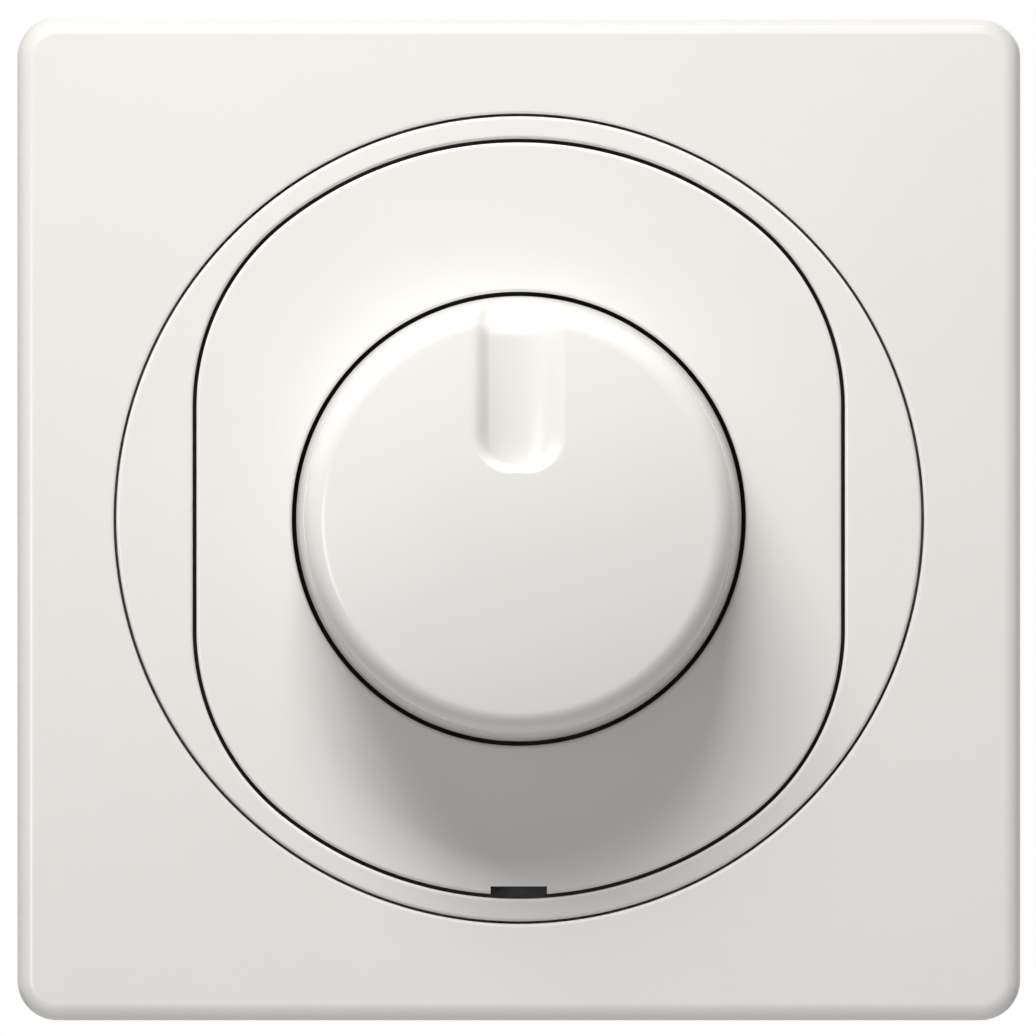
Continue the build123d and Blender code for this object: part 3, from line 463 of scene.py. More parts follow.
def make_winding_tree():
    """Geometry nodes that wind a round wire on a bobbin: one layer of turns on a smooth sleeve."""
    tree = bpy.data.node_groups.new("wound_wire", "GeometryNodeTree")
    face = tree.interface
    for name, kind in (
        ("Radius", "NodeSocketFloat"),
        ("Length", "NodeSocketFloat"),
        ("Turns", "NodeSocketFloat"),
        ("Wire Radius", "NodeSocketFloat"),
        ("Middle", "NodeSocketVector"),
        ("Finish", "NodeSocketMaterial"),
    ):
        face.new_socket(name, in_out="INPUT", socket_type=kind)
    face.new_socket("Winding", in_out="OUTPUT", socket_type="NodeSocketGeometry")
    new, join = tree.nodes.new, tree.links.new
    given, result = new("NodeGroupInput"), new("NodeGroupOutput")
    helix, section = new("GeometryNodeCurveSpiral"), new("GeometryNodeCurvePrimitiveCircle")
    sweep, place = new("GeometryNodeCurveToMesh"), new("GeometryNodeTransform")
    realise, paint = new("GeometryNodeRealizeInstances"), new("GeometryNodeSetMaterial")
    helix.inputs["Resolution"].default_value = 48
    section.inputs["Resolution"].default_value = 10
    sweep.inputs["Fill Caps"].default_value = True
    place.inputs["Rotation"].default_value = (math.pi / 2, 0, 0)
    join(given.outputs["Radius"], helix.inputs["Start Radius"])
    join(given.outputs["Radius"], helix.inputs["End Radius"])
    join(given.outputs["Length"], helix.inputs["Height"])
    join(given.outputs["Turns"], helix.inputs["Rotations"])
    join(given.outputs["Wire Radius"], section.inputs["Radius"])
    join(helix.outputs[0], sweep.inputs["Curve"])
    join(section.outputs[0], sweep.inputs["Profile Curve"])
    join(sweep.outputs[0], place.inputs["Geometry"])
    join(given.outputs["Middle"], place.inputs["Translation"])
    join(place.outputs[0], realise.inputs[0])
    join(realise.outputs[0], paint.inputs["Geometry"])
    join(given.outputs["Finish"], paint.inputs["Material"])
    join(paint.outputs[0], result.inputs[0])
    return tree


winding_low, winding_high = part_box("choke_winding")
winding_radius = (winding_high.x - winding_low.x) / 2 - wire_radius
winding_length = winding_high.y - winding_low.y - 2 * wire_radius
winding_start = Vector((
    (winding_low.x + winding_high.x) / 2,
    winding_high.y - wire_radius,
    (winding_low.z + winding_high.z) / 2,
))
winding_tree = make_winding_tree()
winding_inputs = {
    "Radius": winding_radius,
    "Length": winding_length,
    "Turns": winding_length / (2 * wire_radius),
    "Wire Radius": wire_radius,
    "Middle": winding_start,
    "Finish": enamelled_copper,
}
choke_wire = link("choke_wire", bpy.data.meshes.new("choke_wire"))
winding = choke_wire.modifiers.new("winding", "NODES")
winding.node_group = winding_tree
for item in winding_tree.interface.items_tree:
    if item.name in winding_inputs:
        winding[item.identifier] = winding_inputs[item.name]
evaluated(choke_wire)
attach(choke_wire, "base")
dress(enamelled_copper, "choke_winding")

# Small components
# Two box capacitors in cast resin, two coated resistors, a trigger diode, and a fuse in spring clips.
# Their colours are those of the trade; all of them are soldered with tinned leads.
film_yellow = moulded_plastic("film_yellow", (0.72, 0.50, 0.05), 0.36, 0.5 * mm, 0.006 * mm)
dress(film_yellow, "film_capacitor")
timing_red = moulded_plastic("timing_red", (0.42, 0.05, 0.025), 0.34, 0.5 * mm, 0.006 * mm)
dress(timing_red, "timing_capacitor")
diode_blue = moulded_plastic("diode_blue", (0.04, 0.10, 0.32), 0.26, 0.4 * mm, 0.004 * mm)
dress(diode_blue, "diac")

resistor_low, resistor_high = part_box("resistors")
resistor_length = 6.4 * mm
lead_span = 5.1 * mm
band_width = 0.55 * mm
band_pitch = 1.25 * mm
left_middle = resistor_low.x + lead_span
right_middle = resistor_high.x - lead_span
resistor_coat, place = start_finish("resistor_coat")
upper = place.math("GREATER_THAN", part_of(place, 2), (resistor_low.z + resistor_high.z) / 2)
along = part_of(place, 0) - (upper * (right_middle - left_middle) + left_middle)
nearest = along.math("ABSOLUTE", along)
banded = nearest.math("LESS_THAN", nearest.math("PINGPONG", nearest, band_pitch), band_width / 2)
lead = nearest.math("GREATER_THAN", nearest, resistor_length / 2)
coat = banded.mix(opaque((0.62, 0.50, 0.33)), opaque((0.20, 0.06, 0.03)))
end_finish(
    place,
    {
        "Base Color": lead.mix(coat, opaque((0.66, 0.64, 0.60))),
        "Metallic": lead,
        "Roughness": cloud(place, 0.4 * mm) * 0.1 + 0.3,
        "Normal": relief(cloud(place, 0.5 * mm), 0.004 * mm),
    },
)
dress(resistor_coat, "resistors")

fuse_low, fuse_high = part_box("fuse")
fuse_middle = (fuse_low.z + fuse_high.z) / 2
fuse_tube_half = 5.0 * mm
fuse_tube, place = start_finish("fuse_tube")
from_middle = part_of(place, 2) - fuse_middle
cap = from_middle.math("GREATER_THAN", from_middle.math("ABSOLUTE", from_middle), fuse_tube_half)
end_finish(
    place,
    {
        "Base Color": cap.mix(opaque((0.62, 0.60, 0.54)), opaque((0.66, 0.65, 0.62))),
        "Metallic": cap,
        "Roughness": cloud(place, 0.8 * mm) * 0.1 + 0.22,
        "Normal": relief(cloud(place, 0.6 * mm), 0.003 * mm),
    },
)
dress(fuse_tube, "fuse")

# Push switch
# A black moulded case on the board with a plunger, a bronze bridge over two contacts and a wire spring.
# Pressing the knob drives the spindle onto the plunger, and the spring brings it back.
black_plastic = moulded_plastic("black_plastic", (0.016, 0.016, 0.017), 0.50, 0.25 * mm, 0.010 * mm, 0.2)
dress(black_plastic, "switch_case")
plunger_white = moulded_plastic("plunger_white", (0.72, 0.71, 0.66), 0.38, 0.4 * mm, 0.004 * mm)
dress(plunger_white, "push_plunger")
spring_bronze = plated_metal("spring_bronze", (0.62, 0.38, 0.16), (0.52, 0.28, 0.11), 0.32)
dress(spring_bronze, "contact_bridge", "wiper_contact")
spring_steel = plated_metal("spring_steel", (0.52, 0.53, 0.55), (0.44, 0.44, 0.45), 0.30, patch=1.5 * mm)
dress(spring_steel, "return_spring", "knob_spring_ring")

# Potentiometer
# A moulded case with a phenolic track board, a wiper that the spindle turns, and a threaded brass bush.
# The bush goes through the steel and is clamped by a nut; bush and nuts are nickel plated.
case_grey = moulded_plastic("case_grey", (0.085, 0.095, 0.11), 0.46, 0.3 * mm, 0.008 * mm)
dress(case_grey, "pot_case", "wiper")

track_brown, place = start_finish("track_brown")
stretched = place.node("ShaderNodeMapping", sockets={"Vector": place, "Scale": (0.15, 1.0, 1.0)})
fibres = cloud(stretched, 0.3 * mm)
end_finish(
    place,
    {
        "Base Color": fibres.mix(opaque((0.22, 0.105, 0.040)), opaque((0.31, 0.155, 0.062))),
        "Roughness": fibres * 0.1 + 0.45,
        "Normal": relief(fibres, 0.004 * mm),
    },
)
dress(track_brown, "track_board")


def turned_metal(name, colour, tint, roughness):
    """Metal off a lathe: fine grooves round the axis, on the ends and along the sides."""
    material, place = start_finish(name)
    across, into, up = (part_of(place, axis) for axis in range(3))
    radius = across.math("SQRT", across * across + up * up)
    grooves = into.math("SINE", (radius + into) * (2 * math.pi / (0.16 * mm))) * 0.5 + 0.5
    patches = cloud(place, 2 * mm)
    end_finish(
        place,
        {
            "Base Color": patches.mix(opaque(colour), opaque(tint)),
            "Metallic": 1.0,
            "Roughness": patches * 0.1 + (roughness - 0.05),
            "Normal": relief(grooves, 0.002 * mm),
        },
    )
    return material


nickel_plating = turned_metal("nickel_plating", (0.64, 0.61, 0.54), (0.57, 0.53, 0.45), 0.26)
dress(nickel_plating, "pot_bush", "pot_nut", "carrier_nut")

# Power switch
# A moulded semiconductor, riveted by its metal tab to the steel over a pad of silicone rubber.
# The steel carries its heat away; the legs are bent down into the circuit board.
epoxy_left = -7.7 * mm
epoxy_right = 1.3 * mm
triac_black, place = start_finish("triac_black")
across = part_of(place, 0)
bare = across.math("LESS_THAN", across, epoxy_left) + across.math("GREATER_THAN", across, epoxy_right)
epoxy = cloud(place, 0.3 * mm, detail=3.0)
end_finish(
    place,
    {
        "Base Color": bare.mix(opaque((0.022, 0.022, 0.024)), opaque((0.62, 0.60, 0.56))),
        "Metallic": bare,
        "Roughness": epoxy * 0.12 + 0.34,
        "Normal": relief(epoxy, 0.005 * mm),
    },
)
dress(triac_black, "triac")

pad_grey, place = start_finish("pad_grey")
mesh_cloth = woven(place, 0.6 * mm)
end_finish(
    place,
    {
        "Base Color": mesh_cloth.mix(opaque((0.20, 0.21, 0.22)), opaque((0.27, 0.28, 0.29))),
        "Roughness": mesh_cloth * 0.1 + 0.6,
        "Normal": relief(mesh_cloth, 0.006 * mm),
    },
)
dress(pad_grey, "insulating_pad")
rivet_aluminium = turned_metal("rivet_aluminium", (0.74, 0.75, 0.76), (0.66, 0.67, 0.69), 0.30)
dress(rivet_aluminium, "triac_rivet", "spindle")

# Support plate and housing screws
# A sheet-steel blank, zinc plated after punching, with slots for the screws of the wall box.
# Two zinc-plated screws hold the housing behind it.
dress(zinc_plating, "support_plate")
housing_screw_head = 1.6 * mm
housing_screw_head_radius = 2.5 * mm
screw_low, screw_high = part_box("housing_screws")
post_circle = 23.5 * mm
post_angles = (39.0, 220.0)
head_seat = screw_low.y + housing_screw_head
housing_screw_rings = slotted_screw(
    head_radius=housing_screw_head_radius,
    head_height=housing_screw_head,
    shank_radius=1.3 * mm,
    shank_length=screw_high.y - screw_low.y - housing_screw_head,
    pitch=0.9 * mm,
)
housing_screws = screw(
    "threaded_housing_screws",
    housing_screw_rings,
    slot_width=0.6 * mm,
    slot_depth=0.8 * mm,
    head_radius=housing_screw_head_radius,
    material=zinc_plating,
    place=lambda point: Vector((post_circle + point.x, head_seat + point.z, -point.y)),
)
repeated(
    housing_screws, len(post_angles), first_angle=-post_angles[0], step_angle=post_angles[0] - post_angles[1]
)
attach(housing_screws, "base")
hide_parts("housing_screws")

# Carrier
# A black moulding under the plate and the ring, clamped on the bush by its nut.
# It presses the frame to the wall. Its near-black colour is partly painted shade: it darkens every seam and
# the notch, where it stands in for the shade deep in those gaps.
# painted shade: the carrier's near-black colour darkens the seams and the notch, as the shade in those deep
# gaps would
carrier_black_seam_shade = moulded_plastic("carrier_black_seam_shade", (0.024, 0.025, 0.026), 0.50, 0.25 * mm, 0.010 * mm, 0.2)
dress(carrier_black_seam_shade, "carrier")

# Cover frame
# One glossy white moulding: a shallow square shell, open at the back, with a round opening.
# A collar and a ledge inside the opening stiffen it, with a rib from each corner to the collar.
frame_low, frame_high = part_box("frame")
frame_half = (frame_high.x - frame_low.x) / 2
frame_front = -frame_low.y
frame_corner = 3.2 * mm
frame_edge = 1.4 * mm
frame_wall = 2.0 * mm
opening_radius = 32.3 * mm
collar_radius = opening_radius + 1.6 * mm
ledge_radius = opening_radius - 1.9 * mm
ledge_front = 5.0 * mm
ledge_back = 3.6 * mm
seam_round = 0.25 * mm
rib_thickness = 1.2 * mm


def white_plastic(name, colour):
    """Warm white plastic from a polished tool: glossy, with a faint waviness and the finest of grain."""
    material, place = start_finish(name)
    pigment = cloud(place, 14 * mm)
    wave = cloud(place, 5 * mm, detail=1.0)
    grain = cloud(place, 0.12 * mm, detail=2.0)
    end_finish(
        place,
        {
            "Base Color": pigment.mix(shaded(colour, 0.985), opaque(colour)),
            "Roughness": wave * 0.03 + grain * 0.04 + 0.17,
            "Specular IOR Level": 0.3,
            "Normal": relief(wave + grain * 0.08, 0.004 * mm),
        },
    )
    return material


cover_white = white_plastic("cover_white", (0.78, 0.77, 0.752))


def edge_round(radius, steps):
    """Inset from the wall and drop below the face, from wall to face, with a narrow flat at each end."""
    flat = 0.06 * mm
    turns = np.linspace(0, math.pi / 2, steps + 1)
    arc = [(radius * (1 - math.cos(turn)), radius * (1 - math.sin(turn))) for turn in turns]
    return [(0.0, radius + flat), *arc, (radius + flat, 0.0)]


def rounded_square(half, corner, side_steps, corner_steps):
    """Points and outward directions of a square outline with rounded corners, from the right, upwards."""
    reach = math.atan2(half - corner, half)
    points, outward = [], []
    for quarter in range(4):
        turn = quarter * math.pi / 2
        rotation = np.array([[math.cos(turn), math.sin(turn)], [-math.sin(turn), math.cos(turn)]])
        side = np.tan(np.linspace(-reach, reach, side_steps, endpoint=False)) * half
        bend = np.linspace(0, math.pi / 2, corner_steps, endpoint=False)
        facing = np.stack([np.cos(bend), np.sin(bend)], axis=1)
        side_points = np.stack([np.full(side_steps, half), side], axis=1)
        points += [side_points @ rotation, (facing * corner + (half - corner)) @ rotation]
        outward += [np.tile([1.0, 0.0], (side_steps, 1)) @ rotation, facing @ rotation]
    return np.concatenate(points), np.concatenate(outward)


def at_depth(flat_points, depth):
    """Points in the plane of the wall, moved out from it by one depth for all or one for each."""
    into_wall = np.broadcast_to(-depth, len(flat_points))
    return np.stack([flat_points[:, 0], into_wall, flat_points[:, 1]], axis=1)


square_points, square_outward = rounded_square(frame_half, frame_corner, side_steps=64, corner_steps=16)
square_rays = square_points / np.linalg.norm(square_points, axis=1)[:, None]
seam_arc = edge_round(seam_round, steps=4)
frame_edge_arc = edge_round(frame_edge, steps=14)


def square_ring(inset, depth):
    """The frame's outline, moved inwards, at a depth."""
    return at_depth(square_points - inset * square_outward, depth)


def opening_ring(radius, depth):
    """A circle at a depth, with its points on the rays to those of the frame's outline."""
    return at_depth(radius * square_rays, depth)


frame_rings = [opening_ring(opening_radius, ledge_front)]
frame_rings += [opening_ring(opening_radius + inset, frame_front - drop) for inset, drop in seam_arc]
frame_rings += [square_ring(inset, frame_front - drop) for inset, drop in reversed(frame_edge_arc)]
frame_rings += [
    square_ring(0, 0),
    square_ring(frame_wall, 0),
    square_ring(frame_wall, frame_front - frame_wall),
    opening_ring(collar_radius, frame_front - frame_wall),
    opening_ring(collar_radius, ledge_back),
    opening_ring(ledge_radius, ledge_back),
    opening_ring(ledge_radius, ledge_front),
]
cover_frame = to_mesh("cover_frame", *skin(frame_rings, closed=True), cover_white)


def joined(piece, *others):
    """Adds other pieces' meshes to a piece."""
    work = bmesh.new()
    work.from_mesh(piece.data)
    for other in others:
        work.from_mesh(other.data)
        bpy.data.objects.remove(other)
    work.to_mesh(piece.data)
    work.free()
    soften(piece.data)
    return piece


root_overlap = 0.3 * mm  # how far a rib, pin or hook is rooted in its piece
rib_reach = (frame_half - frame_wall) * math.sqrt(2) - (math.sqrt(2) - 1) * (frame_corner - frame_wall)
corner_ribs = block(
    "corner_ribs",
    (collar_radius - root_overlap, -(frame_front - frame_wall + root_overlap), -rib_thickness / 2),
    (rib_reach + root_overlap, -ledge_back, rib_thickness / 2),
)
corner_ribs.data.materials[0] = cover_white
repeated(corner_ribs, count=4, first_angle=45, step_angle=90)
joined(cover_frame, corner_ribs)
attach(cover_frame, "base")
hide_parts("frame")

# Adapter ring
# A flat white ring that fills the frame's opening and leaves a flat-sided opening for the plate.
# Four pins on its back locate it in the carrier.
ring_low, ring_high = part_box("adapter_ring")
ring_radius = (ring_high.x - ring_low.x) / 2
ring_thickness = 2.4 * mm
ring_back = frame_front - ring_thickness
plate_arc_radius = 30.3 * mm
plate_half_width = 26.0 * mm
plate_blend = 19.0 * mm
pin_radius = 1.0 * mm
pin_length = 1.4 * mm
pin_rise = 8.0 * mm
ring_fall = 0.07 * mm


def flat_sided_round(radius, half_width, blend, straight_steps, blend_steps, arc_steps):
    """Points and outward directions of a round outline with straight sides that blend into its arcs."""
    across = half_width - blend
    up = math.sqrt((radius - blend) ** 2 - across**2)
    meet = math.atan2(up, across)
    points, outward = [], []

    def bend(centre, start, end, size, steps):
        """Adds an arc to the outline."""
        turns = np.linspace(start, end, steps, endpoint=False)
        facing = np.stack([np.cos(turns), np.sin(turns)], axis=1)
        points.append(np.array(centre) + size * facing)
        outward.append(facing)

    for side in (1, -1):
        start = 0.0 if side == 1 else math.pi
        straight = np.linspace(-up, up, straight_steps, endpoint=False) * side
        points.append(np.stack([np.full(straight_steps, side * half_width), straight], axis=1))
        outward.append(np.tile([float(side), 0.0], (straight_steps, 1)))
        bend((side * across, side * up), start, start + meet, blend, blend_steps)
        bend((0, 0), start + meet, start + math.pi - meet, radius, arc_steps)
        bend((-side * across, side * up), start + math.pi - meet, start + math.pi, blend, blend_steps)
    return np.concatenate(points), np.concatenate(outward)


outline_points, outline_outward = flat_sided_round(
    plate_arc_radius, plate_half_width, plate_blend, straight_steps=32, blend_steps=40, arc_steps=72
)
outline_rays = outline_points / np.linalg.norm(outline_points, axis=1)[:, None]


def outline_ring(inset, depth):
    """The outline of the ring's opening, moved inwards, at a depth."""
    return at_depth(outline_points - inset * outline_outward, depth)


def round_ring(radius, depth):
    """A circle at a depth, with its points on the rays to those of the opening's outline."""
    return at_depth(radius * outline_rays, depth)


ring_rings = [round_ring(ring_radius, ring_back)]
ring_rings += [round_ring(ring_radius - inset, frame_front - ring_fall - drop) for inset, drop in seam_arc]
ring_rings += [outline_ring(-inset, frame_front - drop) for inset, drop in reversed(seam_arc)]
ring_rings += [outline_ring(0, ring_back)]
ring_piece = to_mesh("white_ring", *skin(ring_rings, closed=True), cover_white)

pin_across = (plate_half_width + ring_radius) / 2
pin_sides = 32
pin_angles = np.linspace(0, 2 * math.pi, pin_sides, endpoint=False)
pin_arc = edge_round(0.3 * mm, steps=4)
pin_profile = [(0.0, -root_overlap), *[(inset, pin_length - drop) for inset, drop in pin_arc]]
pins = []
for rise in (-pin_rise, pin_rise):
    pin_rings = [
        polar_ring(pin_radius - inset, pin_angles, height)[:, [0, 2, 1]] + (pin_across, -ring_back, rise)
        for inset, height in pin_profile
    ]
    pins.append(to_mesh("pin", *skin(pin_rings, closed=False), cover_white))
ring_pins = joined(*pins)
repeated(ring_pins, count=2, step_angle=180)
joined(ring_piece, ring_pins)
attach(ring_piece, "base")
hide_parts("adapter_ring")

# Centre plate
# A white plate in the ring's opening, with a rounded lip where the knob goes through it.
# Four hooks snap into the carrier; a notch in its lower edge takes the blade that pries it off.
plate_gap = 0.3 * mm
plate_rim = 1.2 * mm
plate_pocket = 0.8 * mm
hole_radius = 18.1 * mm
hole_lip = 0.3 * mm
notch_half_width = 2.25 * mm
notch_top = -29.3 * mm
hook_circle = 25.0 * mm
hook_thickness = 1.2 * mm
hook_width = 5.0 * mm
hook_barb = 0.6 * mm
hook_catch = 5.65 * mm
hook_end = 4.15 * mm
hook_lead = 0.32 * mm

hole_lip_arc = edge_round(hole_lip, steps=8)
plate_rings = [outline_ring(plate_gap, ring_back)]
plate_rings += [outline_ring(plate_gap + inset, frame_front - drop) for inset, drop in seam_arc]
plate_rings += [round_ring(hole_radius + inset, frame_front - drop) for inset, drop in reversed(hole_lip_arc)]
plate_rings += [
    round_ring(hole_radius, ring_back),
    round_ring(hole_radius + plate_rim, ring_back),
    round_ring(hole_radius + plate_rim, ring_back + plate_pocket),
    outline_ring(plate_gap + plate_rim, ring_back + plate_pocket),
    outline_ring(plate_gap + plate_rim, ring_back),
]
plate_piece = to_mesh("white_plate", *skin(plate_rings, closed=True), cover_white)
notch = block(
    "notch",
    (-notch_half_width, -frame_front - ring_thickness, -plate_arc_radius - ring_thickness),
    (notch_half_width, -ring_back + ring_thickness, notch_top),
)
cut_away(plate_piece, notch)


def hook_section(inner, outer, half, depth):
    """A section through a hook on the right-hand side, parallel to the wall."""
    corners = np.array([(inner, -half), (outer, -half), (outer, half), (inner, half)])
    return at_depth(corners, depth)


hook_inner = hook_circle - hook_thickness / 2
hook_outer = hook_circle + hook_thickness / 2
hook_half = hook_width / 2
hook_rings = [
    hook_section(hook_inner, hook_outer, hook_half, ring_back + plate_pocket + root_overlap),
    hook_section(hook_inner, hook_outer, hook_half, hook_catch),
    hook_section(hook_inner, hook_outer + hook_barb, hook_half, hook_catch),
    hook_section(hook_inner + hook_lead, hook_outer + hook_barb - hook_lead, hook_half - hook_lead, hook_end),
]
hooks = to_mesh("hooks", *skin(hook_rings, closed=False), cover_white)
repeated(hooks, count=4, first_angle=45, step_angle=90)
joined(plate_piece, hooks)
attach(plate_piece, "base")
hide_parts("centre_plate")

# Knob
# A hollow white cap with a drafted side, a soft shoulder and a domed top.
# A finger recess is sunk in the top and runs out over the shoulder; a split hub inside grips the spindle.
knob_low, knob_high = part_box("knob")
knob_front = -knob_low.y
knob_back = -knob_high.y
knob_radius = (knob_high.x - knob_low.x) / 2
knob_top_radius = knob_radius - 0.8 * mm
knob_dome = 1.3 * mm
knob_shoulder = 2.0 * mm
knob_wall = 1.8 * mm
knob_ceiling = knob_front - 2.6 * mm
parting_step = 0.05 * mm
knob_rib_count = 6
recess_half = 3.5 * mm
recess_start = 3.85 * mm
recess_corner = 2.9 * mm
recess_sink = 1.55 * mm
recess_rise = 0.045  # slope of the floor, outwards
recess_dish = 0.72  # share of the depth that is lost from the middle to the sides
recess_side_wall = (0.35 * mm, 1.2 * mm)  # how far a wall reaches outside and inside the outline
recess_end_wall = (0.2 * mm, 0.45 * mm)
recess_turn_start = knob_top_radius - knob_shoulder - 0.5 * mm
recess_turn_radius = 1.4 * mm
recess_turn = math.radians(62)
recess_rim = 0.3 * mm
hub_radius = 5.2 * mm
hub_back = knob_front - 10.3 * mm
hub_bore = 3.05 * mm
hub_flat = 1.55 * mm
spring_seat = 4.7 * mm
spring_seat_start = 0.8 * mm
spring_seat_width = 1.0 * mm
hub_slit = 0.8 * mm
hub_slit_length = 4.0 * mm

dome_radius = (knob_top_radius**2 + knob_dome**2) / (2 * knob_dome)
side_lean = math.atan2(knob_radius - knob_top_radius, knob_front - knob_dome - frame_front)


def shoulder_centre():
    """Radius and depth of the centre of the shoulder's round, which touches the dome and the side."""
    low, high = 0.0, knob_top_radius
    halvings = 60
    for _ in range(halvings):
        radius = (low + high) / 2
        depth = knob_front - dome_radius + math.sqrt((dome_radius - knob_shoulder) ** 2 - radius**2)
        side = knob_top_radius + (knob_front - knob_dome - depth) * math.tan(side_lean)
        if (side - radius) * math.cos(side_lean) > knob_shoulder:
            low = radius
        else:
            high = radius
    return radius, depth


def dome_depth(distance):
    """Depth of the domed top at a distance from the axis."""
    return knob_front - dome_radius + np.sqrt(dome_radius**2 - distance**2)


def knob_profile():
    """Radius and depth along the knob's outside, from beside the axis to its back edge."""
    centre_radius, centre_depth = shoulder_centre()
    dome_end = math.asin(centre_radius / (dome_radius - knob_shoulder))
    dome_reach = dome_radius * math.sin(dome_end)
    plain_middle = np.linspace(0.4 * mm, 3.2 * mm, 8)
    along_recess = np.linspace(3.3 * mm, dome_reach, 96)
    radii = np.concatenate([plain_middle, along_recess])
    dome = np.stack([radii, dome_depth(radii)], axis=1)
    shoulder_steps = 32
    turns = np.linspace(dome_end, math.pi / 2 - side_lean, shoulder_steps + 1)[1:]
    shoulder = np.stack(
        [centre_radius + knob_shoulder * np.sin(turns), centre_depth + knob_shoulder * np.cos(turns)], axis=1
    )
    start = shoulder[-1] + (parting_step, 0)
    recess_end = np.linspace(0.02, 0.4, 26)
    plain_side = np.linspace(0.5, 1.0, 5)
    share = np.concatenate([[0.0, 0.01], recess_end, plain_side])
    side = start + share[:, None] * (np.array([knob_radius, frame_front]) - start)
    return np.concatenate([dome, shoulder, side, [[knob_radius, knob_back]]])


def ceiling_profile():
    """Radius and depth along the hollow's ceiling, which follows the dome, from the side to the hub."""
    reach = knob_top_radius - knob_wall
    radii = np.linspace(reach, hub_radius, 9)
    return [(radius, knob_ceiling - knob_dome * (radius / reach) ** 2) for radius in radii]


def recess_share(across, up):
    """How far a place lies in the recess: 0 outside, 1 along its middle, with walls and a dished floor."""
    aside = np.maximum(np.abs(across) - (recess_half - recess_corner), 0)
    below = np.maximum(recess_start + recess_corner - up, 0)
    from_corner = np.hypot(aside, below)
    inside = recess_corner - from_corner
    towards_end = (below / np.maximum(from_corner, 0.01 * mm)) ** 2
    outer, inner = (side + (end - side) * towards_end for side, end in zip(recess_side_wall, recess_end_wall))
    wall = np.clip((inside + outer) / (outer + inner), 0, 1)
    dish = 1 - recess_dish * np.minimum(np.abs(across) / recess_half, 1) ** 2
    return wall**2 * (3 - 2 * wall) * dish


def recess_depth(up):
    """Depth of the recess's floor: along the dome, then turned down over the shoulder and straight on."""
    reach = np.minimum(up, recess_turn_start)
    floor = dome_depth(reach) - recess_sink + recess_rise * (reach - recess_start)
    lean = math.atan(recess_turn_start / math.sqrt(dome_radius**2 - recess_turn_start**2) - recess_rise)
    start = recess_turn_radius * math.sin(lean)
    along = np.clip(up - recess_turn_start + start, start, recess_turn_radius * math.sin(lean + recess_turn))
    turned = recess_turn_radius * math.cos(lean) - np.sqrt(recess_turn_radius**2 - along**2)
    beyond = np.maximum(up - recess_turn_start + start - along, 0)
    return floor - turned - beyond * math.tan(lean + recess_turn)


def knob_angles():
    """Directions round the axis, closer together the nearer they are to the recess."""
    finest = np.arange(0, 16, 0.4)
    finer = np.arange(16, 32, 0.8)
    fine = np.arange(32, 80, 1.6)
    plain = np.linspace(80, 180, 44, endpoint=False)
    half = np.concatenate([finest, finer, fine, plain])
    return np.radians(np.concatenate([90 + half, [270], 90 - half[:0:-1]]))


angles = knob_angles()


def around(radius):
    """Points round the axis in the plane of the wall."""
    return np.stack([radius * np.cos(angles), radius * np.sin(angles)], axis=1)


knob_rings = []
for radius, depth in knob_profile():
    places = around(radius)
    across, up = places.T
    below = depth - recess_depth(up)
    sunk = np.maximum(below, 0) + np.maximum(recess_rim - np.abs(below), 0) ** 2 / (4 * recess_rim)
    knob_rings.append(at_depth(places, depth - recess_share(across, up) * sunk))

least_sine = 0.2  # the flat of the bore lies above the axis, in directions well beyond this
bore = np.minimum(hub_bore, hub_flat / np.maximum(np.sin(angles), least_sine))
spring_seat_front = hub_back + spring_seat_start + spring_seat_width
for radius, depth in (
    (knob_radius - knob_wall, knob_back),
    (knob_radius - knob_wall, frame_front),
    *ceiling_profile(),
    (hub_radius, spring_seat_front),
    (spring_seat, spring_seat_front),
    (spring_seat, hub_back + spring_seat_start),
    (hub_radius, hub_back + spring_seat_start),
    (hub_radius, hub_back),
    (bore, hub_back),
    (bore, knob_ceiling),
):
    knob_rings.append(at_depth(around(radius), depth))
knob_piece = to_mesh("white_knob", *skin(knob_rings, closed=False), cover_white)
slit = block(
    "slit",
    (-hub_radius - root_overlap, -hub_back - hub_slit_length, -hub_slit / 2),
    (hub_radius + root_overlap, -hub_back + root_overlap, hub_slit / 2),
)
cut_away(knob_piece, slit)

knob_rib_outer = knob_top_radius - knob_wall / 2
knob_rib_length = 4.0 * mm
knob_ribs = block(
    "knob_ribs",
    (hub_radius - root_overlap, -knob_ceiling - root_overlap, -rib_thickness / 2),
    (knob_rib_outer, -knob_ceiling + knob_rib_length, rib_thickness / 2),
)
knob_ribs.data.materials[0] = cover_white
repeated(knob_ribs, knob_rib_count, step_angle=360 / knob_rib_count)
joined(knob_piece, knob_ribs)
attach(knob_piece, "knob")
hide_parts("knob")

# Studio
# A pale floor well below the object, a soft key lamp above, a weak lamp and a card of light to the left,
# and a lamp behind. A lamp nearer to the line of view gives most of the frame's light, so that its top
# edge keeps its tone. The world is white to the camera and in gloss, and a dim warm grey as light.
floor_drop = 400 * mm
floor_half = 1500 * mm
floor_paint, place = start_finish("floor_paint")
end_finish(
    place,
    {
        "Base Color": cloud(place, 300 * mm).mix(opaque((0.78, 0.78, 0.78)), opaque((0.80, 0.80, 0.80))),
        "Roughness": 0.9,
    },
)
floor_corners = [
    (across * floor_half, along * floor_half, -floor_drop)
    for across, along in ((-1, -1), (1, -1), (1, 1), (-1, 1))
]
floor = to_mesh("floor", floor_corners, [(0, 1, 2, 3)], floor_paint)

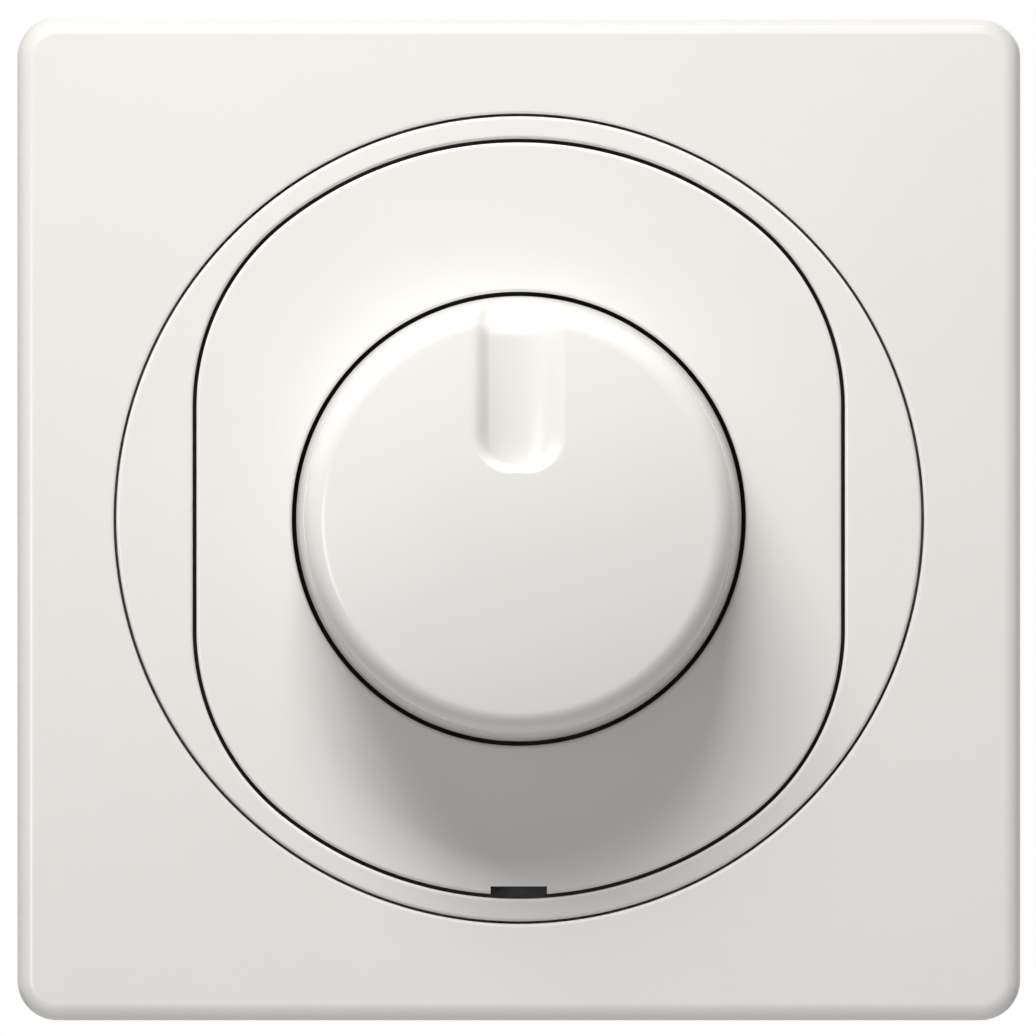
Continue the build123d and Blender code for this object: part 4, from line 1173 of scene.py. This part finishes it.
world = bpy.data.worlds.new("studio")
world.use_nodes = True
world_tree = world.node_tree
world_tree.nodes.clear()
light_path = world_tree.nodes.new("ShaderNodeLightPath")
seen = Field(world_tree, light_path.outputs["Is Camera Ray"])
for ray in ("Is Glossy Ray", "Is Transmission Ray"):
    seen = seen.math("MAXIMUM", seen, Field(world_tree, light_path.outputs[ray]))
white = (1.0, 1.0, 1.0)
room_light = (0.254, 0.245, 0.239)
surround = seen.node(
    "ShaderNodeBackground", sockets={"Color": seen.mix(opaque(room_light), opaque(white))}
)
seen.node("ShaderNodeOutputWorld", sockets={"Surface": surround})
bpy.context.scene.world = world


def soft_lamp(name, off_axis, azimuth, distance, width, height, power, colour=white):
    """A rectangular lamp that faces the object, at an angle off the line of view; azimuth 90 is above."""
    data = bpy.data.lights.new(name, "AREA")
    data.shape = "RECTANGLE"
    data.size = width
    data.size_y = height
    data.energy = power
    data.color = colour
    lamp = bpy.data.objects.new(name, data)
    lean, turn = math.radians(off_axis), math.radians(azimuth)
    out = Vector((math.sin(lean) * math.cos(turn), -math.cos(lean), math.sin(lean) * math.sin(turn)))
    lamp.location = out * distance
    lamp.rotation_mode = "QUATERNION"
    lamp.rotation_quaternion = out.to_track_quat("Z", "Y")
    lamp.visible_camera = False
    bpy.context.scene.collection.objects.link(lamp)
    return lamp


warm_white = (1.0, 0.99, 0.975)


def limit_light(lamp, piece, state):
    """Keeps a lamp's light to one piece, or off that piece."""
    pieces = bpy.data.collections.new(f"{lamp.name}_pieces")
    pieces.objects.link(piece)
    pieces.collection_objects[0].light_linking.link_state = state
    lamp.light_linking.receiver_collection = pieces


key_power = 4.25
frame_share = 0.32  # part of the key lamp's light that falls on the frame too


def key_lamp(name, share):
    """A share of the key lamp's light, from its one place."""
    return soft_lamp(
        name,
        off_axis=60,
        azimuth=103,
        distance=0.55,
        width=0.36,
        height=0.17,
        power=share * key_power,
        colour=warm_white,
    )


key_lamp("key", frame_share)
inner_key = key_lamp("inner_key", 1 - frame_share)
limit_light(inner_key, cover_frame, "EXCLUDE")
frame_key = soft_lamp(
    "frame_key",
    off_axis=31,
    azimuth=106,
    distance=0.27,
    width=0.20,
    height=0.13,
    power=0.385,
    colour=warm_white,
)
limit_light(frame_key, cover_frame, "INCLUDE")
soft_lamp("front", off_axis=20, azimuth=180, distance=0.40, width=0.16, height=0.24, power=0.07)
left_card = soft_lamp(
    "left_card", off_axis=28, azimuth=189, distance=0.40, width=0.07, height=0.10, power=0.25
)
left_card.visible_diffuse = False
soft_lamp("back", off_axis=140, azimuth=60, distance=0.7, width=0.5, height=0.5, power=2.3)

# Camera
# A long lens straight in front of the object, at the photograph's scale.
# The object lies less than a pixel to the right of the middle of the picture and below it.
image_size = 1036
pixels_per_metre = 12.544 / mm
camera_distance = 2.5
object_right = 0.8
object_down = 0.8
camera_data = bpy.data.cameras.new("camera")
camera_data.sensor_width = 36.0
camera_data.lens = camera_data.sensor_width * (camera_distance - frame_front) * pixels_per_metre / image_size
camera_data.shift_x = -object_right / image_size
camera_data.shift_y = object_down / image_size
camera_data.clip_end = 20.0
camera = bpy.data.objects.new("camera", camera_data)
camera.location = (0, -camera_distance, 0)
camera.rotation_euler = (math.pi / 2, 0, 0)
bpy.context.scene.collection.objects.link(camera)
bpy.context.scene.camera = camera
bpy.context.scene.view_settings.view_transform = "Standard"
